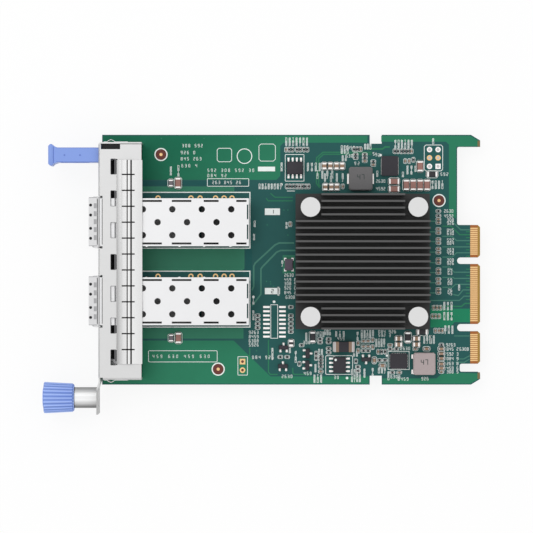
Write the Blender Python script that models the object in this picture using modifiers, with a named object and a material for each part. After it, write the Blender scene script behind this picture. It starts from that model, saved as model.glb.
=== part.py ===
"""Mezzanine network card with two pluggable-module cages, a folded bracket and a finned heatsink.

The frame has +X from the faceplate towards the card edge, +Y across the board and +Z up from the
solder side. The origin is on the front face of the faceplate, on the board's centreline and level
with the board's underside. All lengths are in metres.
"""

import math

import bmesh
import bpy
from mathutils import Matrix, Vector

# Clearances
SOLDER_FILM = 0.00005
SLIP_GAP = 0.0001
SEAT_GAP = 0.0002
FOOT_SINK = 0.00002

# Board
BOARD_LENGTH = 0.115
BOARD_WIDTH = 0.076
BOARD_THICKNESS = 0.00157
TONGUE_LENGTH = 0.007
PRONG_SLOT_FLOOR = 0.0008
EDGE_NOTCH_BACK = 0.0336
EDGE_NOTCH_LENGTH = 0.0037
EDGE_NOTCH_DEPTH = 0.0027
UPPER_PRONG_WIDTH = 0.00365
LOWER_PRONG_WIDTH = 0.0039
PRONG_CHAMFER = 0.0028
PRONG_CHAMFER_WIDTH = 0.0017
RELIEF_RADIUS = 0.0006

# Card edge tongues: centre line from the board's lower edge, and number of contacts
TONGUES = ((0.04362, 14), (0.02757, 28), (0.01129, 14))
CONTACT_PITCH = 0.0006
CONTACT_WIDTH = 0.00038
CONTACT_LENGTH = 0.0022
CONTACT_THICKNESS = 0.00005
TONGUE_MARGIN = 0.00075
TONGUE_CHAMFER = 0.0007
EDGE_BEVEL_LENGTH = 0.0008
EDGE_BEVEL_DEPTH = 0.00035
WEDGE_REACH = 0.002
WEDGE_MARGIN = 0.0005
JOIN_DEPTH = 0.0003

# Bracket sheet
SHEET = 0.0005
BEND_RADIUS = 0.0006
BRACKET_UPPER_MARGIN = 0.0026
BRACKET_LOWER_MARGIN = 0.0018
BRACKET_TOP = 0.0124
BRACKET_BOTTOM = -0.0026
FLANGE_DEPTH = 0.013
SIDE_RELIEF = 0.0002
FOLD_OVERLAP = 0.0008
RIGHT_WALL_START = 0.0014
CAGE_WINDOW_MARGIN = 0.0007
CAGE_WINDOW_NOTCH = 0.0013
CAGE_WINDOW_LOW = 0.001
CUT_MARGIN = 0.0016
CUT_DEPTH = 0.0009
CORNER_SLOT_LENGTH = 0.0058
CORNER_SLOT_WIDTH = 0.0016
CORNER_SLOT_MARGIN = 0.0003
SCREW_TAB_WIDTH = 0.0046
SCREW_TAB_LENGTH = 0.0058
SCREW_TAB_INSET = 0.0061
SCREW_X = 0.0034
SCREW_RADIUS = 0.00095
SCREW_HOLE_RADIUS = 0.00115
SCREW_HEAD_RADIUS = 0.0018
SCREW_HEAD_HEIGHT = 0.0011
SCREW_ACCESS_RADIUS = 0.0021
CLINCH_NUT_RADIUS = 0.00185
CLINCH_NUT_HEIGHT = 0.0013

# Finger gaskets on both flanges
GASKET_SHEET = 0.00012
GASKET_FINGERS = 13
GASKET_UPPER_MARGIN = 0.00545
GASKET_LOWER_MARGIN = 0.00482
GASKET_END_CUT = 0.00085
FINGER_SLIT = 0.0004
SLIT_START = 0.0071
SLIT_END = 0.011
HOOK_WINDOW_X = 0.0038
HOOK_WINDOW_LENGTH = 0.002
HOOK_WINDOW_GAP = 0.00022
GASKET_LIP = 0.00015
HOOK_LEVEL = 0.00012
HOOK_MARGIN = 0.0002
HOOK_CUT_REAR = 0.003
HOOK_CUT_LIP = 0.002
HOOK_CUT_END = 0.0025
GASKET_WRAP_FRONT = 0.0014
GASKET_WRAP_BACK = 0.0012
# Section of the fingers: distance behind the strip's front edge, and height over the flange
GASKET_SECTION = (
    (0.0, 0.00025),
    (0.0012, 0.00045),
    (0.003, 0.00055),
    (0.0033, 0.0008),
    (0.00415, 0.0008),
    (0.0045, 0.00055),
    (0.0056, 0.00035),
    (0.007, 0.0002),
)

# Side springs
SPRING_SHEET = 0.00015
SIDE_SPRING_GAP = 0.00012
SIDE_SPRING_RISE = 0.0008
SIDE_SPRING_HEIGHT = 0.006
SIDE_SPRING_START = 0.0016
SIDE_SPRING_END = 0.0088
SIDE_SPRING_ARCH = 0.0037
SIDE_SPRING_HALF = 0.00062
SIDE_SPRING_CROWN = 0.00025

# Module cages
CAGE_CENTRES = (0.01126, -0.01254)
CAGE_FRONT = -0.0029
CAGE_LENGTH = 0.0482
CAGE_WIDTH = 0.0144
CAGE_HEIGHT = 0.00965
CAGE_SHEET = 0.0002
CAGE_SKIRT = 0.0032
CAGE_BASE_SHORT = 0.0005
VENT_RADIUS = 0.001
VENT_PITCH = 0.00887
VENT_ROW_OFFSET = 0.0039
VENT_ROWS = ((-1, 4), (0, 3), (1, 4))
VENT_REAR = 0.00531
# Slots along the roof's edges: front end, measured from the cage's rear, and length
ROOF_SLOTS = ((0.0323, 0.0061), (0.0232, 0.0059), (0.0136, 0.0045), (0.0038, 0.0031))
ROOF_SLOT_INSET = 0.0005
ROOF_SLOT_WIDTH = 0.0006
ROOF_SLOT_HEIGHT = 0.0006
REAR_SLOT_OFFSETS = (0.0031, -0.0029)
REAR_SLOT_WIDTH = 0.0044
REAR_SLOT_DEPTH = 0.0006
REAR_FLAP_LOW = 0.0035
NOSE_HOLE_BACK = 0.0009
NOSE_HOLE_RADIUS = 0.00048
NOSE_HOLE_OFFSETS = (0.0052, 0.0022, -0.0019, -0.0049)
CAGE_PIN = 0.0005
CAGE_PIN_HOLE_RADIUS = 0.00055
CAGE_PIN_DEPTH = 0.0008
CAGE_PIN_ROOT = 0.001
CAGE_PIN_STATIONS = (0.0312, 0.0212, 0.0137, 0.0057)
COLLAR_RISE = 0.0003
COLLAR_RAMP = 0.0006
COLLAR_SLIT_PITCH = 0.0024
COLLAR_SLIT = 0.0004
COLLAR_SLIT_DEPTH = 0.0009
COLLAR_SHEET = 0.00015
COLLAR_BACK = 0.0004
COLLAR_FRONT = -0.0018
CONNECTOR_LENGTH = 0.0135
CONNECTOR_SIDE_GAP = 0.0009
CONNECTOR_HEIGHT = 0.00688
CONNECTOR_REAR_GAP = 0.0006
CONNECTOR_SLOT_WALL = 0.0014
CONNECTOR_SLOT_DEPTH = 0.0062
CONNECTOR_SLOT_HEIGHT = 0.0012
CONNECTOR_SLOT_LEVEL = 0.0042
CONNECTOR_FOOT_WALL = 0.0013
CONNECTOR_FOOT_FRONT = 0.001
CONNECTOR_FOOT_ROOT = 0.0005
FLOOR_OPENING_WALL = 0.0008
FLOOR_OPENING_FRONT = 0.0007

# Pull tab
TAB_INSET = 0.0064
TAB_LENGTH = 0.0152
TAB_WIDTH = 0.0044
TAB_LOW = 0.0021
TAB_HEIGHT = 0.008
TAB_END_WIDTH = 0.0065
TAB_END_LENGTH = 0.00165
TAB_CORNER = 0.0006
TAB_HEAD_MARGIN = 0.0006
TAB_HEAD_THICKNESS = 0.0007
TAB_RIM = 0.0015
TAB_RECESS = 0.0003

# Thumbscrew
EAR_JOG = 0.0007
EAR_REACH = 0.0049
EAR_LOW = -0.0012
EAR_HEIGHT = 0.0114
THUMB_OFFSET = 0.00562
EAR_JOG_START = 0.0006
EAR_JOG_END = 0.0028
THUMB_Z = 0.0045
FERRULE_LENGTH = 0.0069
FERRULE_RADIUS = 0.00315
FERRULE_WALL = 0.0006
FERRULE_NECK_RADIUS = 0.0026
FERRULE_FLOOR = 0.0008
FERRULE_CHAMFER = 0.0002
SCREW_SHANK_RADIUS = 0.00115
SCREW_THREAD_RADIUS = 0.0015
SCREW_THREAD_LENGTH = 0.0032
SCREW_TIP_CHAMFER = 0.0004
KNOB_LENGTH = 0.0092
KNOB_FRONT_RADIUS = 0.00475
KNOB_REAR_RADIUS = 0.0043
KNOB_FLUTES = 24
KNOB_FLUTE_DEPTH = 0.0003
KNOB_CAVITY_DEPTH = 0.0054
KNOB_HEAD_RADIUS = 0.0019
KNOB_FACE_THICKNESS = 0.0012
KNOB_ROUNDING = 0.0005
KNOB_EDGE = 0.0002
KNOB_BOSS_RADIUS = 0.00275
KNOB_BOSS_HEIGHT = 0.0006
THUMB_SPRING_RADIUS = 0.00195
THUMB_SPRING_WIRE = 0.0002
THUMB_SPRING_TURNS = 5.5

# Heatsink stack
CHIP_SIZE = 0.025
CHIP_HEIGHT = 0.0022
CHIP_BASE_HEIGHT = 0.0011
CHIP_LID_INSET = 0.001
PAD_SIZE = 0.022
PAD_HEIGHT = 0.0005
HEATSINK_CAGE_GAP = 0.0141
HEATSINK_REAR_MARGIN = 0.0156
HEATSINK_UPPER_MARGIN = 0.01803
HEATSINK_LOWER_MARGIN = 0.01697
HEATSINK_BASE = 0.002
HEATSINK_TOP = 0.0125
FIN_COUNT = 21
FIN_THICKNESS = 0.0006
POCKET_LENGTH = 0.0077
POCKET_WIDTH = 0.0079
PIN_INSET_X = 0.0041
PIN_INSET_Y = 0.004
PIN_SHIFT_X = 0.00035
PIN_SHIFT_Y = -0.00014
PIN_HEAD_RADIUS = 0.00297
PIN_HEAD_HEIGHT = 0.0012
PIN_HEAD_TOP = 0.0123
PIN_SHAFT_RADIUS = 0.0013
PIN_BARB_RADIUS = 0.0018
PIN_TIP_LENGTH = 0.0022
PIN_TIP_RADIUS = 0.0007
PIN_JOIN = 0.0004
PIN_SPLIT = 0.0006
PIN_SPLIT_TOP = 0.0004
PIN_HOLE_RADIUS = 0.0015
PIN_SPRING_RADIUS = 0.0021
PIN_SPRING_WIRE = 0.00025
PIN_SPRING_TURNS = 3

# Places on the board: side edge (1 upper, -1 lower), distance from the rear edge and from that side
# edge, and turn
LARGE_CAPACITORS = (
    (1, 0.0225, 0.0153, 90),
    (1, 0.0204, 0.0153, 90),
    (1, 0.0183, 0.0153, 90),
    (1, 0.0162, 0.0153, 90),
    (1, 0.0183, 0.0096, 90),
    (1, 0.0262, 0.0142, 0),
    (1, 0.0262, 0.0165, 0),
)
LARGE_RESISTORS = ((1, 0.0146, 0.0120, 0), (-1, 0.0176, 0.0160, 0), (-1, 0.0220, 0.0144, 90))
TRANSISTORS = (
    (-1, 0.0598, 0.0113, 90),
    (-1, 0.0600, 0.0056, 90),
    (-1, 0.0525, 0.0095, 0),
    (-1, 0.0526, 0.0059, 0),
    (-1, 0.0347, 0.0077, 270),
)
MEDIUM_PASSIVES = (
    (1, 0.0474, 0.0095, 90),
    (1, 0.0456, 0.0095, 90),
    (1, 0.0437, 0.0095, 90),
    (1, 0.0420, 0.0095, 90),
    (1, 0.0471, 0.0159, 90),
    (1, 0.0453, 0.0159, 90),
    (1, 0.0436, 0.0159, 90),
    (-1, 0.0248, 0.0140, 0),
    (-1, 0.0248, 0.0122, 0),
    (-1, 0.0194, 0.0140, 0),
    (-1, 0.0194, 0.0122, 0),
    (-1, 0.05095, 0.0145, 90),
    (-1, 0.0575, 0.0126, 90),
)
# Pairs beside the cages: number of the cage, side, distance from the board's front and the cage's wall
CAGE_SIDE_PASSIVES = (
    (0, 1, 0.0231, 0.00484),
    (0, 1, 0.0209, 0.00484),
    (1, -1, 0.0232, 0.00406),
    (1, -1, 0.0210, 0.00406),
)
INDUCTOR_PLACES = ((1, 0.0364, 0.0134), (-1, 0.0171, 0.0064))
INDUCTOR_SIZES = ((0.0072, 0.0071, 0.003), (0.0067, 0.0067, 0.003))
INDUCTOR_CHAMFER = 0.0003
REGULATOR_PLACES = ((1, 0.0275, 0.0095), (-1, 0.0248, 0.0072))
REGULATOR_SIZES = ((0.005, 0.006, 0.0009), (0.0052, 0.0046, 0.0009))
OSCILLATOR_GAP = 0.00855
OSCILLATOR_SHIFT = -0.00097
OSCILLATOR_SIZE = (0.0025, 0.0035, 0.001)
FUSE_PLACE = (-1, 0.0415, 0.0115, 0)
FUSE_SIZE = (0.0058, 0.0031, 0.0019)
POWER_SWITCHES = ((1, 0.0564, 0.0101, 0), (-1, 0.0428, 0.0060, 90))
POWER_SWITCH_BODY = (0.0049, 0.0039, 0.0014)
POWER_LEADS = 4
POWER_LEAD_PITCH = 0.00127
POWER_LEAD_WIDTH = 0.00042
POWER_LEAD_REACH = 0.00105
LEAD_SHEET = 0.0002
LEAD_ROOT = 0.0002
PACKAGE_LIFT = 0.0001
TRANSISTOR_BODY = (0.0029, 0.0013, 0.001)
TRANSISTOR_LEADS = ((0.0,), (-0.00095, 0.00095))
TRANSISTOR_LEAD_WIDTH = 0.0004
TRANSISTOR_LEAD_REACH = 0.00055

TERMINAL_PROUD = 0.00004
TERMINAL_SHARE = 0.18
CHIP_0805 = (0.0020, 0.00125, 0.0009)
CHIP_1206 = (0.0031, 0.0016, 0.0011)
CHIP_RESISTOR = (0.0031, 0.0016, 0.0006)

BOARD_X = SHEET + SLIP_GAP
BOARD_REAR = BOARD_X + BOARD_LENGTH
HALF_BOARD = BOARD_WIDTH / 2
BOARD_TOP = BOARD_THICKNESS
SHOULDER_X = BOARD_LENGTH - TONGUE_LENGTH
EDGE_NOTCH_X = BOARD_LENGTH - EDGE_NOTCH_BACK
SEAT_Z = BOARD_TOP + SOLDER_FILM
BRACKET_UPPER = HALF_BOARD - BRACKET_UPPER_MARGIN
BRACKET_LOWER = BRACKET_LOWER_MARGIN - HALF_BOARD
SCREW_TAB_Y = HALF_BOARD - SCREW_TAB_INSET
TAB_Y = HALF_BOARD - TAB_INSET
THUMB_Y = BRACKET_LOWER - THUMB_OFFSET
GASKET_UPPER = BRACKET_UPPER - GASKET_UPPER_MARGIN
GASKET_LOWER = BRACKET_LOWER + GASKET_LOWER_MARGIN
GASKET_CENTRE_Y = (GASKET_UPPER + GASKET_LOWER) / 2
FINGER_PITCH = (GASKET_UPPER - GASKET_LOWER + GASKET_END_CUT) / GASKET_FINGERS
HOOK_WINDOW_WIDTH = FINGER_PITCH - HOOK_WINDOW_GAP
FLANGE_UPPER = BRACKET_UPPER - SHEET - SIDE_RELIEF
FLANGE_LOWER = BRACKET_LOWER + SHEET + SIDE_RELIEF
# The folded ends are drawn a little thinner, so that they join the main sheet inside its surfaces
FOLD_SHEET = SHEET - 0.00004
EAR_FRONT = -EAR_JOG
EAR_BACK = EAR_FRONT + SHEET
CAGE_REAR = CAGE_FRONT + CAGE_LENGTH
HEATSINK_FRONT = CAGE_REAR + HEATSINK_CAGE_GAP
HEATSINK_LENGTH = BOARD_REAR - HEATSINK_REAR_MARGIN - HEATSINK_FRONT
HEATSINK_WIDTH = BOARD_WIDTH - HEATSINK_UPPER_MARGIN - HEATSINK_LOWER_MARGIN
HEATSINK_X = HEATSINK_FRONT + HEATSINK_LENGTH / 2
HEATSINK_Y = (HEATSINK_LOWER_MARGIN - HEATSINK_UPPER_MARGIN) / 2
BASE_LOW = SEAT_Z + CHIP_HEIGHT + SOLDER_FILM + PAD_HEIGHT + SOLDER_FILM
BASE_TOP = BASE_LOW + HEATSINK_BASE


def clear_scene():
    """Remove what the start-up file holds."""
    for existing in list(bpy.data.objects):
        bpy.data.objects.remove(existing, do_unlink=True)


def new_collection(name):
    collection = bpy.data.collections.new(name)
    bpy.context.scene.collection.children.link(collection)
    return collection


def new_material(name, colour, roughness, metallic=0.0):
    material = bpy.data.materials.new(name)
    material.use_nodes = True
    shader = material.node_tree.nodes["Principled BSDF"]
    shader.inputs["Base Color"].default_value = (*colour, 1.0)
    shader.inputs["Roughness"].default_value = roughness
    shader.inputs["Metallic"].default_value = metallic
    return material


clear_scene()
CARD = new_collection("mezzanine_network_card")
CUTTERS = new_collection("cutters")
MATERIALS = {
    "solder_mask": new_material("solder_mask", (0.02, 0.13, 0.09), 0.4),
    "bright_steel": new_material("bright_steel", (0.75, 0.75, 0.76), 0.3, 1.0),
    "spring_steel": new_material("spring_steel", (0.8, 0.8, 0.81), 0.22, 1.0),
    "blue_plastic": new_material("blue_plastic", (0.25, 0.36, 0.82), 0.45),
    "black_plastic": new_material("black_plastic", (0.015, 0.015, 0.016), 0.55),
    "black_anodised": new_material("black_anodised", (0.02, 0.02, 0.021), 0.5, 0.3),
    "white_nylon": new_material("white_nylon", (0.8, 0.8, 0.8), 0.5),
    "thermal_pad": new_material("thermal_pad", (0.4, 0.42, 0.46), 0.8),
    "chip_epoxy": new_material("chip_epoxy", (0.02, 0.02, 0.021), 0.6),
    "ferrite": new_material("ferrite", (0.2, 0.2, 0.2), 0.6),
    "ceramic": new_material("ceramic", (0.45, 0.33, 0.22), 0.5),
}


def place_object(name, mesh, material, collection=CARD):
    part = bpy.data.objects.new(name, mesh)
    part.data.materials.clear()
    if material:
        part.data.materials.append(MATERIALS[material])
    collection.objects.link(part)
    return part


def mesh_object(name, shape, material, collection=CARD):
    """Turn a bmesh into a named object."""
    mesh = bpy.data.meshes.new(name)
    bmesh.ops.recalc_face_normals(shape, faces=shape.faces)
    shape.to_mesh(mesh)
    shape.free()
    return place_object(name, mesh, material, collection)


def add_box(shape, low, high, turn=None):
    """Add a box between two corners, turned about Z at its own middle if asked."""
    low = Vector(low)
    high = Vector(high)
    size = high - low
    matrix = Matrix.Translation((low + high) / 2)
    if turn:
        matrix = matrix @ Matrix.Rotation(math.radians(turn), 4, "Z")
    matrix = matrix @ Matrix.Diagonal((*size, 1.0))
    return bmesh.ops.create_cube(shape, size=1.0, matrix=matrix)["verts"]


def add_cylinder(shape, centre, radius, depth, axis="Z", sides=12, end_radius=None):
    turn = Matrix.Identity(4)
    if axis == "X":
        turn = Matrix.Rotation(math.radians(90), 4, "Y")
    if axis == "Y":
        turn = Matrix.Rotation(math.radians(90), 4, "X")
    bmesh.ops.create_cone(
        shape,
        cap_ends=True,
        segments=sides,
        radius1=radius,
        radius2=radius if end_radius is None else end_radius,
        depth=depth,
        matrix=Matrix.Translation(centre) @ turn,
    )


def hidden_tool(name, shape):
    tool = mesh_object(name, shape, None, CUTTERS)
    tool.hide_render = True
    tool.display_type = "WIRE"
    return tool


def boolean(part, tool, operation):
    modifier = part.modifiers.new(tool.name, "BOOLEAN")
    modifier.operation = operation
    modifier.object = tool
    modifier.solver = "EXACT"
    return part


def cut(part, shape, name):
    return boolean(part, hidden_tool(name, shape), "DIFFERENCE")


def join(part, shape, name):
    return boolean(part, hidden_tool(name, shape), "UNION")


def bevel_edges(part, width, segments=1):
    modifier = part.modifiers.new("soft_edges", "BEVEL")
    modifier.width = width
    modifier.segments = segments
    modifier.limit_method = "ANGLE"
    modifier.angle_limit = math.radians(40)
    return part


def arc(centre, radius, start, end, steps):
    """Points on an arc, in degrees, both ends included."""
    points = []
    for step in range(steps + 1):
        angle = math.radians(start + (end - start) * step / steps)
        points.append((centre[0] + radius * math.cos(angle), centre[1] + radius * math.sin(angle)))
    return points


def flat_outline(name, outlines, thickness, material, matrix=Matrix.Identity(4), collection=CARD):
    """A plate cut to the first outline, with the others as holes, from z 0 to its thickness."""
    curve = bpy.data.curves.new(name, "CURVE")
    curve.dimensions = "2D"
    curve.fill_mode = "BOTH"
    curve.extrude = thickness / 2
    for outline in outlines:
        spline = curve.splines.new("POLY")
        spline.points.add(len(outline) - 1)
        for point, place in zip(spline.points, outline):
            point.co = (place[0], place[1], 0.0, 1.0)
        spline.use_cyclic_u = True
    drawn = bpy.data.objects.new(name + "_curve", curve)
    collection.objects.link(drawn)
    bpy.context.view_layer.update()
    evaluated = drawn.evaluated_get(bpy.context.evaluated_depsgraph_get())
    mesh = bpy.data.meshes.new_from_object(evaluated)
    bpy.data.objects.remove(drawn, do_unlink=True)
    shape = bmesh.new()
    shape.from_mesh(mesh)
    bpy.data.meshes.remove(mesh)
    bmesh.ops.remove_doubles(shape, verts=shape.verts, dist=0.000001)
    lift = Matrix.Translation((0.0, 0.0, thickness / 2))
    bmesh.ops.transform(shape, matrix=matrix @ lift, verts=shape.verts)
    return mesh_object(name, shape, material, collection)


def folded_sheet(name, profile, span, plane, thickness, bend, material, collection=CARD):
    """A sheet folded along its profile's corners, whose points lie on the sheet's middle.

    The plane names the profile's two axes, and the span runs along the third one.
    """
    first, second = ("XYZ".index(letter) for letter in plane)
    third = 3 - first - second
    shape = bmesh.new()
    rows = []
    for level in span:
        row = []
        for point in profile:
            place = [0.0, 0.0, 0.0]
            place[first], place[second] = point
            place[third] = level
            row.append(shape.verts.new(place))
        rows.append(row)
    for index in range(len(profile) - 1):
        shape.faces.new((rows[0][index], rows[0][index + 1], rows[1][index + 1], rows[1][index]))
    mesh = bpy.data.meshes.new(name)
    shape.to_mesh(mesh)
    shape.free()
    sheet = place_object(name, mesh, material, collection)
    if bend:
        folds = sheet.modifiers.new("folds", "BEVEL")
        folds.width = bend
        folds.segments = 3
        folds.limit_method = "ANGLE"
        folds.angle_limit = math.radians(20)
    wall = sheet.modifiers.new("wall", "SOLIDIFY")
    wall.thickness = thickness
    wall.offset = 0.0
    wall.use_even_offset = True
    return sheet


def hide_tool(part):
    part.hide_render = True
    part.display_type = "WIRE"
    return part


def turned(name, profile, axis_point, steps, material):
    """A solid turned about a line along X: profile points are (x, radius), from front to back outside."""
    shape = bmesh.new()
    corners = [shape.verts.new((radius, 0.0, -x)) for x, radius in profile]
    for index in range(len(corners) - 1):
        shape.edges.new((corners[index], corners[index + 1]))
    if profile[0][1] > 0.0:
        shape.edges.new((corners[-1], corners[0]))
    mesh = bpy.data.meshes.new(name)
    shape.to_mesh(mesh)
    shape.free()
    part = place_object(name, mesh, material)
    part.location = axis_point
    part.rotation_euler = (0.0, math.radians(-90), 0.0)
    screw = part.modifiers.new("turn", "SCREW")
    screw.steps = steps
    screw.render_steps = steps
    screw.use_merge_vertices = True
    screw.merge_threshold = 0.00001
    screw.use_normal_flip = True
    screw.use_smooth_shade = True
    return part


def coil(name, centre, axis, length, radius, wire, turns, points_per_turn, material):
    """A round-wire spring with closed end turns, lying along the axis from its centre point."""
    count = int((turns + 1.5) * points_per_turn)
    curve = bpy.data.curves.new(name, "CURVE")
    curve.dimensions = "3D"
    curve.bevel_depth = wire
    curve.bevel_resolution = 0
    curve.use_fill_caps = True
    spline = curve.splines.new("POLY")
    spline.points.add(count)
    inner = length - 2 * wire
    closed = 2.2 * wire / inner
    for index, point in enumerate(spline.points):
        turn = index / points_per_turn
        if turn <= 0.75:
            share = closed * turn
        elif turn >= turns + 0.75:
            share = 1 - closed * (turns + 1.5 - turn)
        else:
            share = closed * 0.75 + (1 - 1.5 * closed) * (turn - 0.75) / turns
        angle = math.tau * turn
        along = wire + inner * share
        sideways = (radius * math.cos(angle), radius * math.sin(angle))
        if axis == "X":
            place = (centre[0] + along, centre[1] + sideways[0], centre[2] + sideways[1])
        else:
            place = (centre[0] + sideways[0], centre[1] + sideways[1], centre[2] + along)
        point.co = (*place, 1.0)
    part = bpy.data.objects.new(name, curve)
    curve.materials.append(MATERIALS[material])
    CARD.objects.link(part)
    return part


def board_point(x, y):
    """A place on the board, given from its front edge and its centreline."""
    return (BOARD_X + x, y)


def from_corner(side, back, inward):
    """A place on the board, given from its rear edge and one of its side edges."""
    return (BOARD_REAR - back, side * (HALF_BOARD - inward))


def tongue_limits(tongue):
    centre, contacts = tongue
    half = contacts * CONTACT_PITCH / 2 + TONGUE_MARGIN
    return centre - HALF_BOARD - half, centre - HALF_BOARD + half


def slot_floor(low, high, floor, radius):
    """The inner end of a gap between two tongues, from its low side to its high side."""
    points = arc((floor + radius, low + radius), radius, 270, 180, 4)
    points += arc((floor + radius, high - radius), radius, 180, 90, 4)
    return points


def side_notch(side):
    """The guide notch in a long edge, walked towards the rear."""
    edge = side * HALF_BOARD
    floor = edge - side * EDGE_NOTCH_DEPTH
    end = EDGE_NOTCH_X + EDGE_NOTCH_LENGTH
    return [(EDGE_NOTCH_X, edge), (EDGE_NOTCH_X, floor), (end, floor), (end, edge)]


def board_outline():
    half = HALF_BOARD
    lower = tongue_limits(TONGUES[2])
    middle = tongue_limits(TONGUES[1])
    upper = tongue_limits(TONGUES[0])
    lower_prong = -half + LOWER_PRONG_WIDTH
    upper_prong = half - UPPER_PRONG_WIDTH
    points = [(0.0, -half)]
    points += side_notch(-1)
    points += [(BOARD_LENGTH - PRONG_CHAMFER, -half)]
    points += [(BOARD_LENGTH, -half + PRONG_CHAMFER_WIDTH)]
    points += [(BOARD_LENGTH, lower_prong - TONGUE_CHAMFER)]
    points += [(BOARD_LENGTH - TONGUE_CHAMFER, lower_prong)]
    points += slot_floor(lower_prong, lower[0], SHOULDER_X + PRONG_SLOT_FLOOR, RELIEF_RADIUS)
    for limits, following in ((lower, middle), (middle, upper)):
        points += [(BOARD_LENGTH - TONGUE_CHAMFER, limits[0])]
        points += [(BOARD_LENGTH, limits[0] + TONGUE_CHAMFER)]
        points += [(BOARD_LENGTH, limits[1] - TONGUE_CHAMFER)]
        points += [(BOARD_LENGTH - TONGUE_CHAMFER, limits[1])]
        radius = (following[0] - limits[1]) / 2 * 0.98
        points += slot_floor(limits[1], following[0], SHOULDER_X, radius)
    points += [(BOARD_LENGTH - TONGUE_CHAMFER, upper[0])]
    points += [(BOARD_LENGTH, upper[0] + TONGUE_CHAMFER)]
    points += [(BOARD_LENGTH, upper[1] - TONGUE_CHAMFER)]
    points += [(BOARD_LENGTH - TONGUE_CHAMFER, upper[1])]
    points += slot_floor(upper[1], upper_prong, SHOULDER_X, RELIEF_RADIUS)
    points += [(BOARD_LENGTH, upper_prong)]
    points += [(BOARD_LENGTH, half - PRONG_CHAMFER_WIDTH)]
    points += [(BOARD_LENGTH - PRONG_CHAMFER, half)]
    points += reversed(side_notch(1))
    points += [(0.0, half)]
    return [board_point(*point) for point in points]


def push_pin_places():
    places = []
    for along in (-1, 1):
        for across in (1, -1):
            x = HEATSINK_X + PIN_SHIFT_X + along * (HEATSINK_LENGTH / 2 - PIN_INSET_X)
            y = HEATSINK_Y + PIN_SHIFT_Y + across * (HEATSINK_WIDTH / 2 - PIN_INSET_Y)
            places.append((x, y))
    return places


def cage_pin_places(centre):
    """Solder pins along both walls of a cage."""
    offset = CAGE_WIDTH / 2 - CAGE_SHEET * 1.5 - SOLDER_FILM
    places = []
    for side in (1, -1):
        for station in CAGE_PIN_STATIONS:
            places.append((CAGE_REAR - station, centre + side * offset))
    return places


def bracket_screw_places():
    return [(SCREW_X, side * SCREW_TAB_Y) for side in (1, -1)]


def board_holes():
    holes = []
    for place in push_pin_places():
        holes.append(arc(place, PIN_HOLE_RADIUS, 0, 360 - 360 / 12, 11))
    for place in bracket_screw_places():
        holes.append(arc(place, SCREW_HOLE_RADIUS, 0, 360 - 360 / 12, 11))
    for centre in CAGE_CENTRES:
        for place in cage_pin_places(centre):
            holes.append(arc(place, CAGE_PIN_HOLE_RADIUS, 0, 315, 7))
    return holes


def contact_places():
    for centre, contacts in TONGUES:
        for index in range(contacts):
            yield centre - HALF_BOARD + (index - (contacts - 1) / 2) * CONTACT_PITCH


def medium_passive_places():
    """Centres and turns of the 0805 parts, at the rear and beside the cages."""
    for side, back, inward, turn in MEDIUM_PASSIVES:
        yield (*from_corner(side, back, inward), turn)
    for cage, side, x, gap in CAGE_SIDE_PASSIVES:
        yield BOARD_X + x, CAGE_CENTRES[cage] + side * (CAGE_WIDTH / 2 + gap), 90


def card_edge_wedges():
    """The two wedges that bevel the tongues' tips, above and below."""
    low_y = tongue_limits(TONGUES[2])[0] - WEDGE_MARGIN
    high_y = tongue_limits(TONGUES[0])[1] + WEDGE_MARGIN
    angle = math.atan2(EDGE_BEVEL_DEPTH, EDGE_BEVEL_LENGTH)
    wedges = bmesh.new()
    for level, sign in ((0.0, 1), (BOARD_TOP, -1)):
        low = (0.0, low_y, min(0.0, -sign * WEDGE_REACH))
        high = (2 * WEDGE_REACH, high_y, max(0.0, -sign * WEDGE_REACH))
        corners = add_box(wedges, low, high)
        place = Matrix.Translation((BOARD_REAR - EDGE_BEVEL_LENGTH, 0.0, level))
        bmesh.ops.transform(wedges, matrix=place @ Matrix.Rotation(-sign * angle, 4, "Y"), verts=corners)
    return wedges


def make_pcb():
    """The board with its bevelled card edge, contact pads and smaller soldered parts."""
    pcb = flat_outline("pcb", [board_outline()] + board_holes(), BOARD_THICKNESS, "solder_mask")
    cut(pcb, card_edge_wedges(), "card_edge_bevels")
    extras = bmesh.new()
    end = BOARD_REAR - EDGE_BEVEL_LENGTH
    start = end - CONTACT_LENGTH
    for y in contact_places():
        low_y = y - CONTACT_WIDTH / 2
        high_y = y + CONTACT_WIDTH / 2
        add_box(extras, (start, low_y, -CONTACT_THICKNESS), (end, high_y, JOIN_DEPTH))
        top = BOARD_TOP + CONTACT_THICKNESS
        add_box(extras, (start, low_y, BOARD_TOP - JOIN_DEPTH), (end, high_y, top))
    length, width, height = CHIP_0805
    for x, y, turn in medium_passive_places():
        low = (x - length / 2, y - width / 2, BOARD_TOP - JOIN_DEPTH)
        add_box(extras, low, (x + length / 2, y + width / 2, BOARD_TOP + height), turn)
    join(pcb, extras, "contacts_and_small_parts")
    return pcb


def finger_centre(index):
    return GASKET_CENTRE_Y + ((GASKET_FINGERS - 1) / 2 - index) * FINGER_PITCH


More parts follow.
